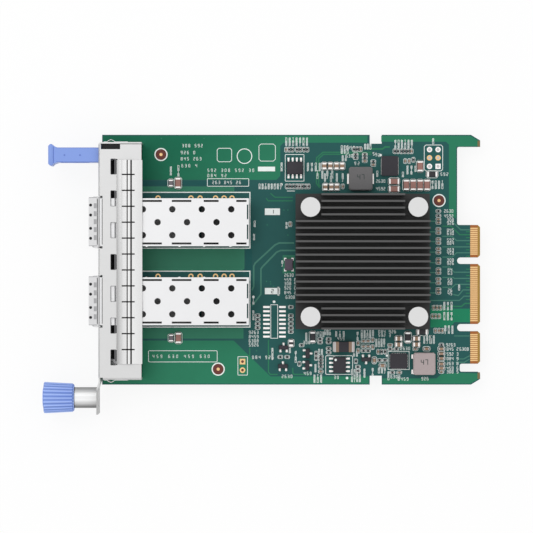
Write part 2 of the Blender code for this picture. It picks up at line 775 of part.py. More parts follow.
def make_bracket():
    """One folded sheet: faceplate, top and bottom flange, two side flanges and the screw ear."""
    middle = SHEET / 2
    top = BRACKET_TOP - middle
    bottom = BRACKET_BOTTOM + middle
    profile = ((FLANGE_DEPTH, bottom), (middle, bottom), (middle, top), (FLANGE_DEPTH, top))
    span = (FLANGE_LOWER, FLANGE_UPPER)
    bracket = folded_sheet("bracket", profile, span, "XZ", SHEET, BEND_RADIUS, "bright_steel")

    tabs = bmesh.new()
    for x, y in bracket_screw_places():
        half = SCREW_TAB_WIDTH / 2
        low = -SLIP_GAP - SHEET
        add_box(tabs, (middle, y - half, low), (middle + SCREW_TAB_LENGTH, y + half, -SLIP_GAP))
    join(bracket, tabs, "screw_tabs")

    openings = bmesh.new()
    for centre in CAGE_CENTRES:
        half = CAGE_WIDTH / 2 + CAGE_WINDOW_MARGIN
        low = (-CUT_MARGIN, centre - half, CAGE_WINDOW_LOW)
        add_box(openings, low, (CAGE_WINDOW_NOTCH, centre + half, BRACKET_TOP + CUT_MARGIN))
    for index in range(0, GASKET_FINGERS, 2):
        y = finger_centre(index)
        half = HOOK_WINDOW_WIDTH / 2
        far = HOOK_WINDOW_X + HOOK_WINDOW_LENGTH
        for face in (BRACKET_TOP, BRACKET_BOTTOM):
            add_box(openings, (HOOK_WINDOW_X, y - half, face - CUT_DEPTH), (far, y + half, face + CUT_DEPTH))
    slot_high = FLANGE_UPPER + SLIP_GAP
    slot_low = slot_high - CORNER_SLOT_WIDTH
    slot_x = SHEET + CORNER_SLOT_MARGIN
    corner = (slot_x + CORNER_SLOT_LENGTH, slot_high, BRACKET_TOP + CUT_DEPTH)
    add_box(openings, (slot_x, slot_low, BRACKET_TOP - CUT_DEPTH), corner)
    slot_y = TAB_WIDTH / 2 + SLIP_GAP
    slot_top = TAB_LOW + TAB_HEIGHT + SLIP_GAP
    add_box(openings, (-SHEET, TAB_Y - slot_y, TAB_LOW - SLIP_GAP), (SHEET * 2, TAB_Y + slot_y, slot_top))
    cut(bracket, openings, "bracket_openings")
    bores = bmesh.new()
    for x, y in bracket_screw_places():
        add_cylinder(bores, (x, y, -SHEET / 2), SCREW_HOLE_RADIUS, SHEET * 3, "Z", 12)
        add_cylinder(bores, (x, y, BRACKET_BOTTOM), SCREW_ACCESS_RADIUS, SHEET * 3, "Z", 12)
    cut(bracket, bores, "bracket_screw_holes")

    side_low = BOARD_TOP + SEAT_GAP
    side_y = BRACKET_UPPER - middle
    left = ((middle, FLANGE_UPPER - FOLD_OVERLAP), (middle, side_y), (FLANGE_DEPTH, side_y))
    left_wall = folded_sheet(
        "left_side_fold", left, (side_low, top - BEND_RADIUS), "XY", FOLD_SHEET, BEND_RADIUS, None, CUTTERS
    )
    boolean(bracket, hide_tool(left_wall), "UNION")

    side_y = BRACKET_LOWER + middle
    right = ((FLANGE_LOWER + FOLD_OVERLAP, top), (side_y, top), (side_y, side_low))
    span = (RIGHT_WALL_START, FLANGE_DEPTH)
    right_wall = folded_sheet(
        "right_side_fold", right, span, "YZ", FOLD_SHEET, BEND_RADIUS, None, CUTTERS
    )
    boolean(bracket, hide_tool(right_wall), "UNION")

    ear_middle = EAR_FRONT + middle
    ear_end = THUMB_Y - EAR_REACH
    jog_start = BRACKET_LOWER - EAR_JOG_START
    jog_end = BRACKET_LOWER - EAR_JOG_END
    ear = (
        (middle, FLANGE_LOWER + FOLD_OVERLAP),
        (middle, jog_start),
        (ear_middle, jog_end),
        (ear_middle, ear_end),
    )
    ear_fold = folded_sheet(
        "ear_fold", ear, (EAR_LOW, EAR_LOW + EAR_HEIGHT), "XY", FOLD_SHEET, BEND_RADIUS, None, CUTTERS
    )
    boolean(bracket, hide_tool(ear_fold), "UNION")

    ear_hole = bmesh.new()
    radius = FERRULE_NECK_RADIUS + SLIP_GAP
    add_cylinder(ear_hole, (EAR_FRONT, THUMB_Y, THUMB_Z), radius, 8 * SHEET, "X", 24)
    cut(bracket, ear_hole, "ferrule_hole")
    return bracket


def gasket_profile(face, side):
    """The finger strip's section over a flange whose outer face is at the given height."""
    under = face - side * (SHEET + GASKET_LIP)
    over = face + side * GASKET_LIP
    front = HOOK_WINDOW_X + HOOK_WINDOW_LENGTH - SEAT_GAP
    back = FLANGE_DEPTH + SEAT_GAP
    profile = [(front + GASKET_WRAP_FRONT, under), (front, under)]
    profile += [(front + along, face + side * height) for along, height in GASKET_SECTION]
    profile += [(back, over), (back, under), (back - GASKET_WRAP_BACK, under)]
    return profile


def make_gasket(name, face, side):
    """Finger stock clipped over a flange: every second finger hooks through a window."""
    span = (GASKET_LOWER, GASKET_UPPER)
    strip = folded_sheet(name, gasket_profile(face, side), span, "XZ", GASKET_SHEET, 0.0, "spring_steel")
    low = face - 2 * CUT_MARGIN
    high = face + 2 * CUT_MARGIN
    gaps = bmesh.new()
    for index in range(GASKET_FINGERS - 1):
        y = finger_centre(index) - FINGER_PITCH / 2
        add_box(gaps, (SLIT_START, y - FINGER_SLIT / 2, low), (SLIT_END, y + FINGER_SLIT / 2, high))
    hook_low, hook_high = sorted((face - side * CUT_MARGIN, face + side * HOOK_LEVEL))
    for index in range(1, GASKET_FINGERS, 2):
        y = finger_centre(index)
        half = FINGER_PITCH / 2 + HOOK_MARGIN
        front = (HOOK_WINDOW_X + HOOK_MARGIN, y - half, hook_low)
        add_box(gaps, front, (FLANGE_DEPTH - HOOK_CUT_REAR, y + half, hook_high))
        back = (FLANGE_DEPTH - HOOK_CUT_LIP, y - half, hook_low)
        add_box(gaps, back, (FLANGE_DEPTH + HOOK_CUT_LIP, y + half, hook_high))
    for y in span:
        front = (HOOK_WINDOW_X + HOOK_MARGIN, y - GASKET_LIP, hook_low)
        add_box(gaps, front, (FLANGE_DEPTH - HOOK_CUT_END, y + GASKET_LIP, hook_high))
    return cut(strip, gaps, name + "_slits")


def make_side_spring(name, side):
    """An arched contact spring outside a side flange."""
    outer = BRACKET_UPPER if side > 0 else -BRACKET_LOWER
    wall = outer + SIDE_SPRING_GAP
    arch = outer + SIDE_SPRING_RISE
    shoulder = arch - SIDE_SPRING_CROWN
    stations = [(SIDE_SPRING_START, wall), (SIDE_SPRING_ARCH - 2 * SIDE_SPRING_HALF, wall)]
    stations += [(SIDE_SPRING_ARCH - SIDE_SPRING_HALF, shoulder), (SIDE_SPRING_ARCH, arch)]
    stations += [(SIDE_SPRING_ARCH + SIDE_SPRING_HALF, shoulder)]
    stations += [(SIDE_SPRING_ARCH + 2 * SIDE_SPRING_HALF, wall), (SIDE_SPRING_END, wall)]
    profile = [(x, side * y) for x, y in stations]
    low = (BOARD_TOP + BRACKET_TOP) / 2 - SIDE_SPRING_HEIGHT / 2
    span = (low, low + SIDE_SPRING_HEIGHT)
    return folded_sheet(name, profile, span, "XY", SPRING_SHEET, 0.0, "spring_steel")


def make_pull_tab():
    """A moulded tab with a gripping end, held by a head behind the slot in the faceplate."""
    half = TAB_WIDTH / 2
    end_half = TAB_END_WIDTH / 2
    tip = -TAB_LENGTH
    shoulder = tip + TAB_END_LENGTH
    inside = SHEET + SLIP_GAP
    head_half = half + TAB_HEAD_MARGIN
    upper = [
        (tip, end_half - TAB_CORNER),
        (tip + TAB_CORNER, end_half),
        (shoulder - TAB_CORNER, end_half),
        (shoulder, end_half - TAB_CORNER),
        (shoulder + TAB_CORNER * 2, half),
        (inside, half),
        (inside, head_half),
        (inside + TAB_HEAD_THICKNESS, head_half),
    ]
    outline = [(x, TAB_Y - y) for x, y in upper] + [(x, TAB_Y + y) for x, y in reversed(upper)]
    lift = Matrix.Translation((0.0, 0.0, TAB_LOW))
    tab = flat_outline("pull_tab", [outline], TAB_HEIGHT, "blue_plastic", lift)
    grip = bmesh.new()
    rim = TAB_RIM
    for side in (1, -1):
        y = TAB_Y + side * half
        inner = (shoulder + TAB_CORNER * 2 + rim / 2, y - TAB_RECESS, TAB_LOW + rim)
        add_box(grip, inner, (-rim * 2, y + TAB_RECESS, TAB_LOW + TAB_HEIGHT - rim))
    cut(tab, grip, "pull_tab_recesses")
    return tab


def make_thumbscrew():
    """A captive screw: ferrule pressed in the ear, spring, shouldered screw and fluted knob."""
    axis = (0.0, THUMB_Y, THUMB_Z)
    front = EAR_FRONT - SOLDER_FILM - FERRULE_LENGTH
    back = EAR_FRONT - SOLDER_FILM
    bore = SCREW_THREAD_RADIUS + SEAT_GAP
    inside = FERRULE_RADIUS - FERRULE_WALL
    floor = back - FERRULE_FLOOR
    ferrule_profile = (
        (EAR_BACK, bore),
        (EAR_BACK, FERRULE_NECK_RADIUS),
        (back, FERRULE_NECK_RADIUS),
        (back, FERRULE_RADIUS),
        (front + FERRULE_CHAMFER, FERRULE_RADIUS),
        (front, FERRULE_RADIUS - FERRULE_CHAMFER),
        (front, inside),
        (floor, inside),
        (floor, bore),
    )
    turned("thumbscrew_ferrule", ferrule_profile, axis, 20, "bright_steel")

    knob_rear = front
    knob_front = knob_rear - KNOB_LENGTH
    cavity = knob_rear - KNOB_CAVITY_DEPTH
    head_end = knob_front + KNOB_FACE_THICKNESS
    tip = EAR_BACK - SEAT_GAP
    thread_start = tip - SCREW_THREAD_LENGTH
    screw_profile = (
        (tip, 0.0),
        (tip, SCREW_THREAD_RADIUS - SCREW_TIP_CHAMFER),
        (tip - SCREW_TIP_CHAMFER, SCREW_THREAD_RADIUS),
        (thread_start, SCREW_THREAD_RADIUS),
        (thread_start, SCREW_SHANK_RADIUS),
        (cavity - SOLDER_FILM, SCREW_SHANK_RADIUS),
        (cavity - SOLDER_FILM, KNOB_HEAD_RADIUS),
        (head_end, KNOB_HEAD_RADIUS),
        (head_end, 0.0),
    )
    turned("thumbscrew_screw", screw_profile, axis, 14, "bright_steel")

    shape = bmesh.new()
    rings = []
    count = KNOB_FLUTES * 2
    stations = (
        (knob_rear, KNOB_REAR_RADIUS - KNOB_ROUNDING),
        (knob_rear - KNOB_ROUNDING, KNOB_REAR_RADIUS),
        (knob_front + KNOB_EDGE, KNOB_FRONT_RADIUS),
        (knob_front, KNOB_FRONT_RADIUS - KNOB_EDGE),
    )
    for x, radius in stations:
        ring = []
        for index in range(count):
            angle = math.tau * index / count
            reach = radius - (KNOB_FLUTE_DEPTH if index % 2 else 0.0)
            place = (x, THUMB_Y + reach * math.cos(angle), THUMB_Z + reach * math.sin(angle))
            ring.append(shape.verts.new(place))
        rings.append(ring)
    for near, far in zip(rings, rings[1:]):
        for index in range(count):
            following = (index + 1) % count
            shape.faces.new((near[index], near[following], far[following], far[index]))
    shape.faces.new(rings[0])
    shape.faces.new(rings[-1])
    knob = mesh_object("thumbscrew_knob", shape, "blue_plastic")
    hollow = bmesh.new()
    depth = KNOB_CAVITY_DEPTH + KNOB_ROUNDING
    centre = (cavity + depth / 2, THUMB_Y, THUMB_Z)
    add_cylinder(hollow, centre, FERRULE_RADIUS + SEAT_GAP, depth, "X", 24)
    cut(knob, hollow, "knob_cavity")
    socket = bmesh.new()
    depth = cavity - head_end + KNOB_ROUNDING
    centre = (head_end - SOLDER_FILM + depth / 2, THUMB_Y, THUMB_Z)
    add_cylinder(socket, centre, KNOB_HEAD_RADIUS + SOLDER_FILM, depth, "X", 16)
    cut(knob, socket, "knob_socket")
    boss = bmesh.new()
    add_cylinder(boss, (knob_front, THUMB_Y, THUMB_Z), KNOB_BOSS_RADIUS, KNOB_BOSS_HEIGHT, "X", 24)
    join(knob, boss, "knob_boss")

    spring_start = cavity + SLIP_GAP
    length = floor - SLIP_GAP - spring_start
    coil(
        "thumbscrew_spring",
        (spring_start, THUMB_Y, THUMB_Z),
        "X",
        length,
        THUMB_SPRING_RADIUS,
        THUMB_SPRING_WIRE,
        THUMB_SPRING_TURNS,
        9,
        "spring_steel",
    )


def make_bracket_fasteners():
    """A pan-head screw from below through each bracket tab into a clinch nut on the board."""
    tab_low = -SLIP_GAP - SHEET
    for number, (x, y) in enumerate(bracket_screw_places(), 1):
        shape = bmesh.new()
        head_high = tab_low - SOLDER_FILM
        head_middle = head_high - SCREW_HEAD_HEIGHT / 2
        add_cylinder(shape, (x, y, head_middle), SCREW_HEAD_RADIUS, SCREW_HEAD_HEIGHT, "Z", 12)
        screw = mesh_object(f"bracket_screw_{number}", shape, "bright_steel")
        shank = bmesh.new()
        top = SEAT_Z + CLINCH_NUT_HEIGHT + SEAT_GAP
        low = head_middle
        add_cylinder(shank, (x, y, (low + top) / 2), SCREW_RADIUS, top - low, "Z", 12)
        join(screw, shank, f"bracket_shank_{number}")
        nut_shape = bmesh.new()
        nut_middle = (x, y, SEAT_Z + CLINCH_NUT_HEIGHT / 2)
        add_cylinder(nut_shape, nut_middle, CLINCH_NUT_RADIUS, CLINCH_NUT_HEIGHT, "Z", 12)
        nut = mesh_object(f"bracket_nut_{number}", nut_shape, "bright_steel")
        bore = bmesh.new()
        add_cylinder(bore, nut_middle, SCREW_RADIUS + SLIP_GAP, CLINCH_NUT_HEIGHT * 2, "Z", 12)
        cut(nut, bore, f"bracket_nut_bore_{number}")


def make_cage_base(number, centre, low, high):
    """The cage's lower sheet: floor, two walls and the pins soldered in the board."""
    sheet = CAGE_SHEET
    wall_y = CAGE_WIDTH / 2 - sheet * 1.5 - SOLDER_FILM
    wall_top = high - sheet - SOLDER_FILM
    floor_z = low + sheet / 2
    left, right = centre + wall_y, centre - wall_y
    tray = ((left, wall_top), (left, floor_z), (right, floor_z), (right, wall_top))
    span = (CAGE_FRONT, CAGE_REAR - CAGE_BASE_SHORT)
    base = folded_sheet(f"cage_base_{number}", tray, span, "YZ", sheet, 0.0, "bright_steel")
    pins = bmesh.new()
    half_pin = CAGE_PIN / 2
    for x, y in cage_pin_places(centre):
        corner = (x - half_pin, y - sheet / 2, -CAGE_PIN_DEPTH)
        add_box(pins, corner, (x + half_pin, y + sheet / 2, low + CAGE_PIN_ROOT))
    join(base, pins, f"cage_pins_{number}")
    well = bmesh.new()
    half = connector_half() - FLOOR_OPENING_WALL
    start = connector_start() - FLOOR_OPENING_FRONT
    add_box(well, (start, centre - half, low - sheet), (CAGE_REAR + sheet, centre + half, low + 3 * sheet))
    cut(base, well, f"cage_floor_opening_{number}")


def cage_cover_openings(centre, high):
    """Vents, nose holes and the slots along the roof's edges, as one set of cutters."""
    holes = bmesh.new()
    deep = 2 * ROOF_SLOT_HEIGHT
    last_vent = CAGE_REAR - VENT_REAR
    longest = max(count for row, count in VENT_ROWS)
    for row, count in VENT_ROWS:
        last = last_vent - (longest - count) * VENT_PITCH / 2
        for index in range(count):
            place = (last - index * VENT_PITCH, centre + row * VENT_ROW_OFFSET, high)
            add_cylinder(holes, place, VENT_RADIUS, deep, "Z", 10)
    for offset in NOSE_HOLE_OFFSETS:
        place = (CAGE_FRONT + NOSE_HOLE_BACK, centre + offset, high)
        add_cylinder(holes, place, NOSE_HOLE_RADIUS, deep, "Z", 6)
    low = high - ROOF_SLOT_HEIGHT
    slot_outer = CAGE_WIDTH / 2 - ROOF_SLOT_INSET
    slot_inner = slot_outer - ROOF_SLOT_WIDTH
    for back, length in ROOF_SLOTS:
        x = CAGE_REAR - back
        add_box(holes, (x, centre + slot_inner, low), (x + length, centre + slot_outer, low + deep))
        add_box(holes, (x, centre - slot_outer, low), (x + length, centre - slot_inner, low + deep))
    for offset in REAR_SLOT_OFFSETS:
        y = centre + offset
        corner = (CAGE_REAR - REAR_SLOT_DEPTH, y - REAR_SLOT_WIDTH / 2, low)
        add_box(holes, corner, (CAGE_REAR + REAR_SLOT_DEPTH, y + REAR_SLOT_WIDTH / 2, low + deep))
    return holes


def make_cage_cover(number, centre, low, high):
    """The cage's upper sheet: roof, two skirts over the base's walls and the rear flap."""
    sheet = CAGE_SHEET
    skirt_y = CAGE_WIDTH / 2 - sheet / 2
    roof_z = high - sheet / 2
    skirt_low = high - CAGE_SKIRT
    left, right = centre + skirt_y, centre - skirt_y
    roof = ((left, skirt_low), (left, roof_z), (right, roof_z), (right, skirt_low))
    span = (CAGE_FRONT, CAGE_REAR)
    cover = folded_sheet(f"cage_cover_{number}", roof, span, "YZ", sheet, 0.0, "bright_steel")
    flap = bmesh.new()
    add_box(flap, (CAGE_REAR - sheet, right, low + REAR_FLAP_LOW), (CAGE_REAR, left, roof_z))
    join(cover, flap, f"cage_rear_flap_{number}")
    cut(cover, cage_cover_openings(centre, high), f"cage_vents_{number}")


def make_cage(number, centre):
    """A pressed cage in two sheets, its contact collar and the connector at its back."""
    low = SEAT_Z
    high = BOARD_TOP + CAGE_HEIGHT
    make_cage_base(number, centre, low, high)
    make_cage_cover(number, centre, low, high)
    make_collar(number, centre, low, high)
    make_host_connector(number, centre, low)


def make_collar(number, centre, low, high):
    """A ring of spring fingers round the cage where it passes the faceplate."""
    half = CAGE_WIDTH / 2
    stations = (
        (COLLAR_FRONT, SEAT_GAP),
        (COLLAR_FRONT + COLLAR_RAMP, SEAT_GAP + COLLAR_RISE),
        (COLLAR_BACK - COLLAR_RAMP, SEAT_GAP + COLLAR_RISE),
        (COLLAR_BACK, SEAT_GAP),
    )
    shape = bmesh.new()
    rings = []
    for x, rise in stations:
        ring = []
        for across, level in ((1, 1), (-1, 1), (-1, 0), (1, 0)):
            z = high + rise if level else low - rise
            ring.append(shape.verts.new((x, centre + across * (half + rise), z)))
        rings.append(ring)
    for near, far in zip(rings, rings[1:]):
        for index in range(4):
            following = (index + 1) % 4
            shape.faces.new((near[index], near[following], far[following], far[index]))
    collar = mesh_object(f"cage_collar_{number}", shape, "spring_steel")
    wall = collar.modifiers.new("wall", "SOLIDIFY")
    wall.thickness = COLLAR_SHEET
    wall.offset = 0.0
    wall.use_even_offset = True
    slits = bmesh.new()
    for index in range(5):
        y = centre + (index - 2) * COLLAR_SLIT_PITCH
        for z in (high, low):
            corner = (COLLAR_FRONT - COLLAR_SLIT, y - COLLAR_SLIT / 2, z - COLLAR_SLIT_DEPTH)
            add_box(slits, corner, (COLLAR_BACK - COLLAR_RAMP, y + COLLAR_SLIT / 2, z + COLLAR_SLIT_DEPTH))
    cut(collar, slits, f"collar_slits_{number}")


def connector_half():
    return CAGE_WIDTH / 2 - CONNECTOR_SIDE_GAP


def connector_start():
    return CAGE_REAR - CAGE_SHEET - CONNECTOR_REAR_GAP - CONNECTOR_LENGTH


def make_host_connector(number, centre, low):
    """The moulded connector that a module's card edge enters, on its foot in the cage's floor opening."""
    start = connector_start()
    end = start + CONNECTOR_LENGTH
    half = connector_half()
    bottom = low + CAGE_SHEET + SEAT_GAP
    shape = bmesh.new()
    add_box(shape, (start, centre - half, bottom), (end, centre + half, bottom + CONNECTOR_HEIGHT))
    connector = mesh_object(f"host_connector_{number}", shape, "black_plastic")
    slot = bmesh.new()
    slot_half = half - CONNECTOR_SLOT_WALL
    slot_low = bottom + CONNECTOR_SLOT_LEVEL - CONNECTOR_SLOT_HEIGHT / 2
    corner = (start + CONNECTOR_SLOT_DEPTH, centre + slot_half, slot_low + CONNECTOR_SLOT_HEIGHT)
    add_box(slot, (start - CONNECTOR_SLOT_HEIGHT, centre - slot_half, slot_low), corner)
    cut(connector, slot, f"connector_slot_{number}")
    foot = bmesh.new()
    foot_half = half - CONNECTOR_FOOT_WALL
    corner = (start + CONNECTOR_FOOT_FRONT, centre - foot_half, low - FOOT_SINK)
    add_box(foot, corner, (end, centre + foot_half, bottom + CONNECTOR_FOOT_ROOT))
    join(connector, foot, f"connector_foot_{number}")


def make_heatsink():
    """An extruded comb of fins with four corner pockets for the push pins."""
    half = HEATSINK_WIDTH / 2
    pitch = (HEATSINK_WIDTH - FIN_THICKNESS) / (FIN_COUNT - 1)
    outline = [(half, 0.0), (half, HEATSINK_TOP - BASE_LOW)]
    for index in range(FIN_COUNT):
        outer = half - index * pitch
        inner = outer - FIN_THICKNESS
        if index:
            outline += [(outer, HEATSINK_BASE), (outer, HEATSINK_TOP - BASE_LOW)]
        if index < FIN_COUNT - 1:
            outline += [(inner, HEATSINK_TOP - BASE_LOW), (inner, HEATSINK_BASE)]
    outline += [(-half, HEATSINK_TOP - BASE_LOW), (-half, 0.0)]
    turn = Matrix(((0, 0, 1, 0), (1, 0, 0, 0), (0, 1, 0, 0), (0, 0, 0, 1)))
    start = Matrix.Translation((HEATSINK_X - HEATSINK_LENGTH / 2, HEATSINK_Y, BASE_LOW))
    heatsink = flat_outline("heatsink", [outline], HEATSINK_LENGTH, "black_anodised", start @ turn)
    pockets = bmesh.new()
    for along in (-1, 1):
        for across in (-1, 1):
            x = HEATSINK_X + along * HEATSINK_LENGTH / 2
            y = HEATSINK_Y + across * half
            inner_x = x - along * POCKET_LENGTH
            inner_y = y - across * POCKET_WIDTH
            outer_x = x + along * CUT_MARGIN
            outer_y = y + across * CUT_MARGIN
            low = (min(inner_x, outer_x), min(inner_y, outer_y), BASE_TOP)
            add_box(pockets, low, (max(inner_x, outer_x), max(inner_y, outer_y), HEATSINK_TOP + CUT_MARGIN))
    cut(heatsink, pockets, "pin_pockets")
    bores = bmesh.new()
    for x, y in push_pin_places():
        add_cylinder(bores, (x, y, BASE_LOW), PIN_HOLE_RADIUS, 4 * HEATSINK_BASE, "Z", 12)
    cut(heatsink, bores, "pin_bores")


def make_chip_under_heatsink():
    x, y = HEATSINK_X, HEATSINK_Y
    half = CHIP_SIZE / 2
    shape = bmesh.new()
    add_box(shape, (x - half, y - half, SEAT_Z), (x + half, y + half, SEAT_Z + CHIP_BASE_HEIGHT))
    chip = mesh_object("controller_chip", shape, "chip_epoxy")
    lid = bmesh.new()
    inner = half - CHIP_LID_INSET
    low = SEAT_Z + CHIP_BASE_HEIGHT - JOIN_DEPTH
    add_box(lid, (x - inner, y - inner, low), (x + inner, y + inner, SEAT_Z + CHIP_HEIGHT))
    join(chip, lid, "controller_lid")
    pad = bmesh.new()
    half = PAD_SIZE / 2
    low = SEAT_Z + CHIP_HEIGHT + SOLDER_FILM
    add_box(pad, (x - half, y - half, low), (x + half, y + half, low + PAD_HEIGHT))
    mesh_object("thermal_pad", pad, "thermal_pad")


def make_push_pins():
    """Nylon push pins with barbed tips under the board and a spring under each head."""
    for number, (x, y) in enumerate(push_pin_places(), 1):
        head_low = PIN_HEAD_TOP - PIN_HEAD_HEIGHT
        shape = bmesh.new()
        middle = (x, y, (head_low + PIN_HEAD_TOP) / 2)
        add_cylinder(shape, middle, PIN_HEAD_RADIUS, PIN_HEAD_HEIGHT, "Z", 20)
        pin = mesh_object(f"push_pin_{number}", shape, "white_nylon")
        shaft = bmesh.new()
        low = -SEAT_GAP - PIN_JOIN
        high = head_low + PIN_JOIN
        add_cylinder(shaft, (x, y, (low + high) / 2), PIN_SHAFT_RADIUS, high - low, "Z", 12)
        join(pin, shaft, f"push_pin_shaft_{number}")
        barb = bmesh.new()
        middle = -SEAT_GAP - PIN_TIP_LENGTH / 2
        add_cylinder(barb, (x, y, middle), PIN_TIP_RADIUS, PIN_TIP_LENGTH, "Z", 12, PIN_BARB_RADIUS)
        join(pin, barb, f"push_pin_barb_{number}")
        split = bmesh.new()
        split_low = -SEAT_GAP - 2 * PIN_TIP_LENGTH
        corner = (x - PIN_SPLIT / 2, y - PIN_HEAD_RADIUS, split_low)
        add_box(split, corner, (x + PIN_SPLIT / 2, y + PIN_HEAD_RADIUS, PIN_SPLIT_TOP))
        cut(pin, split, f"push_pin_split_{number}")
        start = BASE_TOP + SLIP_GAP
        coil(
            f"push_pin_spring_{number}",
            (x, y, start),
            "Z",
            head_low - SLIP_GAP - start,
            PIN_SPRING_RADIUS,
            PIN_SPRING_WIRE,
            PIN_SPRING_TURNS,
            8,
            "spring_steel",
        )


def make_two_terminal(name, x, y, turn, size, material):
    """A chip component: its body between two plated ends that stand slightly proud."""
    length, width, height = size
    proud = TERMINAL_PROUD
    cap = length * TERMINAL_SHARE
    half = length / 2 - PACKAGE_LIFT
    shape = bmesh.new()
    add_box(shape, (-half, -width / 2 + proud, proud), (half, width / 2 - proud, height - proud))
    ends = bmesh.new()
    for side in (-1, 1):
        outer = side * length / 2
        inner = outer - side * cap
        add_box(ends, (min(inner, outer), -width / 2, 0.0), (max(inner, outer), width / 2, height))
    matrix = Matrix.Translation((x, y, SEAT_Z)) @ Matrix.Rotation(math.radians(turn), 4, "Z")
    bmesh.ops.transform(shape, matrix=matrix, verts=shape.verts)
    bmesh.ops.transform(ends, matrix=matrix, verts=ends.verts)
    part = mesh_object(name, shape, material)
    return join(part, ends, name + "_ends")


def make_gull_wing(name, x, y, turn, body, lead_rows, lead_width, reach):
    """A moulded package with bent leads; lead_rows gives each side's offsets along local X."""
    length, width, height = body
    matrix = Matrix.Translation((x, y, SEAT_Z)) @ Matrix.Rotation(math.radians(turn), 4, "Z")
    shape = bmesh.new()
    add_box(shape, (-length / 2, -width / 2, PACKAGE_LIFT), (length / 2, width / 2, height))
    bmesh.ops.transform(shape, matrix=matrix, verts=shape.verts)
    part = mesh_object(name, shape, "chip_epoxy")
    middle = height / 2
    steps = (
        ("_leads", -LEAD_ROOT / reach, 0.5, middle - LEAD_SHEET / 2, middle + LEAD_SHEET / 2),
        ("_uprights", 0.3, 0.5, 0.0, middle + LEAD_SHEET / 2),
        ("_feet", 0.3, 1.0, 0.0, LEAD_SHEET),
    )
    for label, start, end, low, high in steps:
        tool = bmesh.new()
        for side, offsets in zip((1, -1), lead_rows):
            near = side * (width / 2 + reach * start)
            far = side * (width / 2 + reach * end)
            for offset in offsets:
                corner = (offset - lead_width / 2, min(near, far), low)
                add_box(tool, corner, (offset + lead_width / 2, max(near, far), high))
        bmesh.ops.transform(tool, matrix=matrix, verts=tool.verts)
        join(part, tool, name + label)
    return part


def make_block(name, x, y, size, material, chamfer=0.0):
    """A moulded block standing on the board."""
    length, width, height = size
    shape = bmesh.new()
    low = (x - length / 2, y - width / 2, SEAT_Z)
    add_box(shape, low, (x + length / 2, y + width / 2, SEAT_Z + height))
    part = mesh_object(name, shape, material)
    if chamfer:
        bevel_edges(part, chamfer)
    return part


def make_board_parts():
    """The larger soldered parts, each its own piece."""
    for number, (place, size) in enumerate(zip(INDUCTOR_PLACES, INDUCTOR_SIZES), 1):
        make_block(f"inductor_{number}", *from_corner(*place), size, "ferrite", INDUCTOR_CHAMFER)
    for number, (place, size) in enumerate(zip(REGULATOR_PLACES, REGULATOR_SIZES), 1):
        make_block(f"regulator_{number}", *from_corner(*place), size, "chip_epoxy")
    oscillator_x = HEATSINK_X - CHIP_SIZE / 2 - OSCILLATOR_GAP - OSCILLATOR_SIZE[0] / 2
    make_block("oscillator", oscillator_x, HEATSINK_Y + OSCILLATOR_SHIFT, OSCILLATOR_SIZE, "bright_steel")
    make_two_terminal("fuse", *from_corner(*FUSE_PLACE[:3]), FUSE_PLACE[3], FUSE_SIZE, "chip_epoxy")
    pins = [(index - (POWER_LEADS - 1) / 2) * POWER_LEAD_PITCH for index in range(POWER_LEADS)]
    for number, (side, back, inward, turn) in enumerate(POWER_SWITCHES, 1):
        place = from_corner(side, back, inward)
        name = f"power_switch_{number}"
        leads = ((pins, pins), POWER_LEAD_WIDTH, POWER_LEAD_REACH)
        make_gull_wing(name, *place, turn, POWER_SWITCH_BODY, *leads)
    for number, (side, back, inward, turn) in enumerate(TRANSISTORS, 1):
        place = from_corner(side, back, inward)
        name = f"transistor_{number}"
        leads = (TRANSISTOR_LEADS, TRANSISTOR_LEAD_WIDTH, TRANSISTOR_LEAD_REACH)
        make_gull_wing(name, *place, turn - 90, TRANSISTOR_BODY, *leads)
    for number, (side, back, inward, turn) in enumerate(LARGE_CAPACITORS, 1):
        place = from_corner(side, back, inward)
        make_two_terminal(f"capacitor_{number}", *place, turn, CHIP_1206, "ceramic")
    for number, (side, back, inward, turn) in enumerate(LARGE_RESISTORS, 1):
        place = from_corner(side, back, inward)
        make_two_terminal(f"resistor_{number}", *place, turn, CHIP_RESISTOR, "chip_epoxy")


make_pcb()
make_bracket()
make_gasket("emi_gasket_top", BRACKET_TOP, 1)
make_gasket("emi_gasket_bottom", BRACKET_BOTTOM, -1)
make_side_spring("side_spring_1", 1)
make_side_spring("side_spring_2", -1)
make_pull_tab()
make_thumbscrew()
make_bracket_fasteners()
for cage_number, cage_centre in enumerate(CAGE_CENTRES, 1):
    make_cage(cage_number, cage_centre)
make_chip_under_heatsink()
make_heatsink()
make_push_pins()
make_board_parts()
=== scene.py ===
"""Looks of the mezzanine network card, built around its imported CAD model.

Forms on the board are in millimetres: x from the board's front edge, y from its centreline and z above
its top face. Forms on the sheet metal are in millimetres in the frame of the CAD model. Materials, springs
and the stage are in metres in that frame.
"""

import math

import bmesh
import bpy
from mathutils import Matrix, Vector


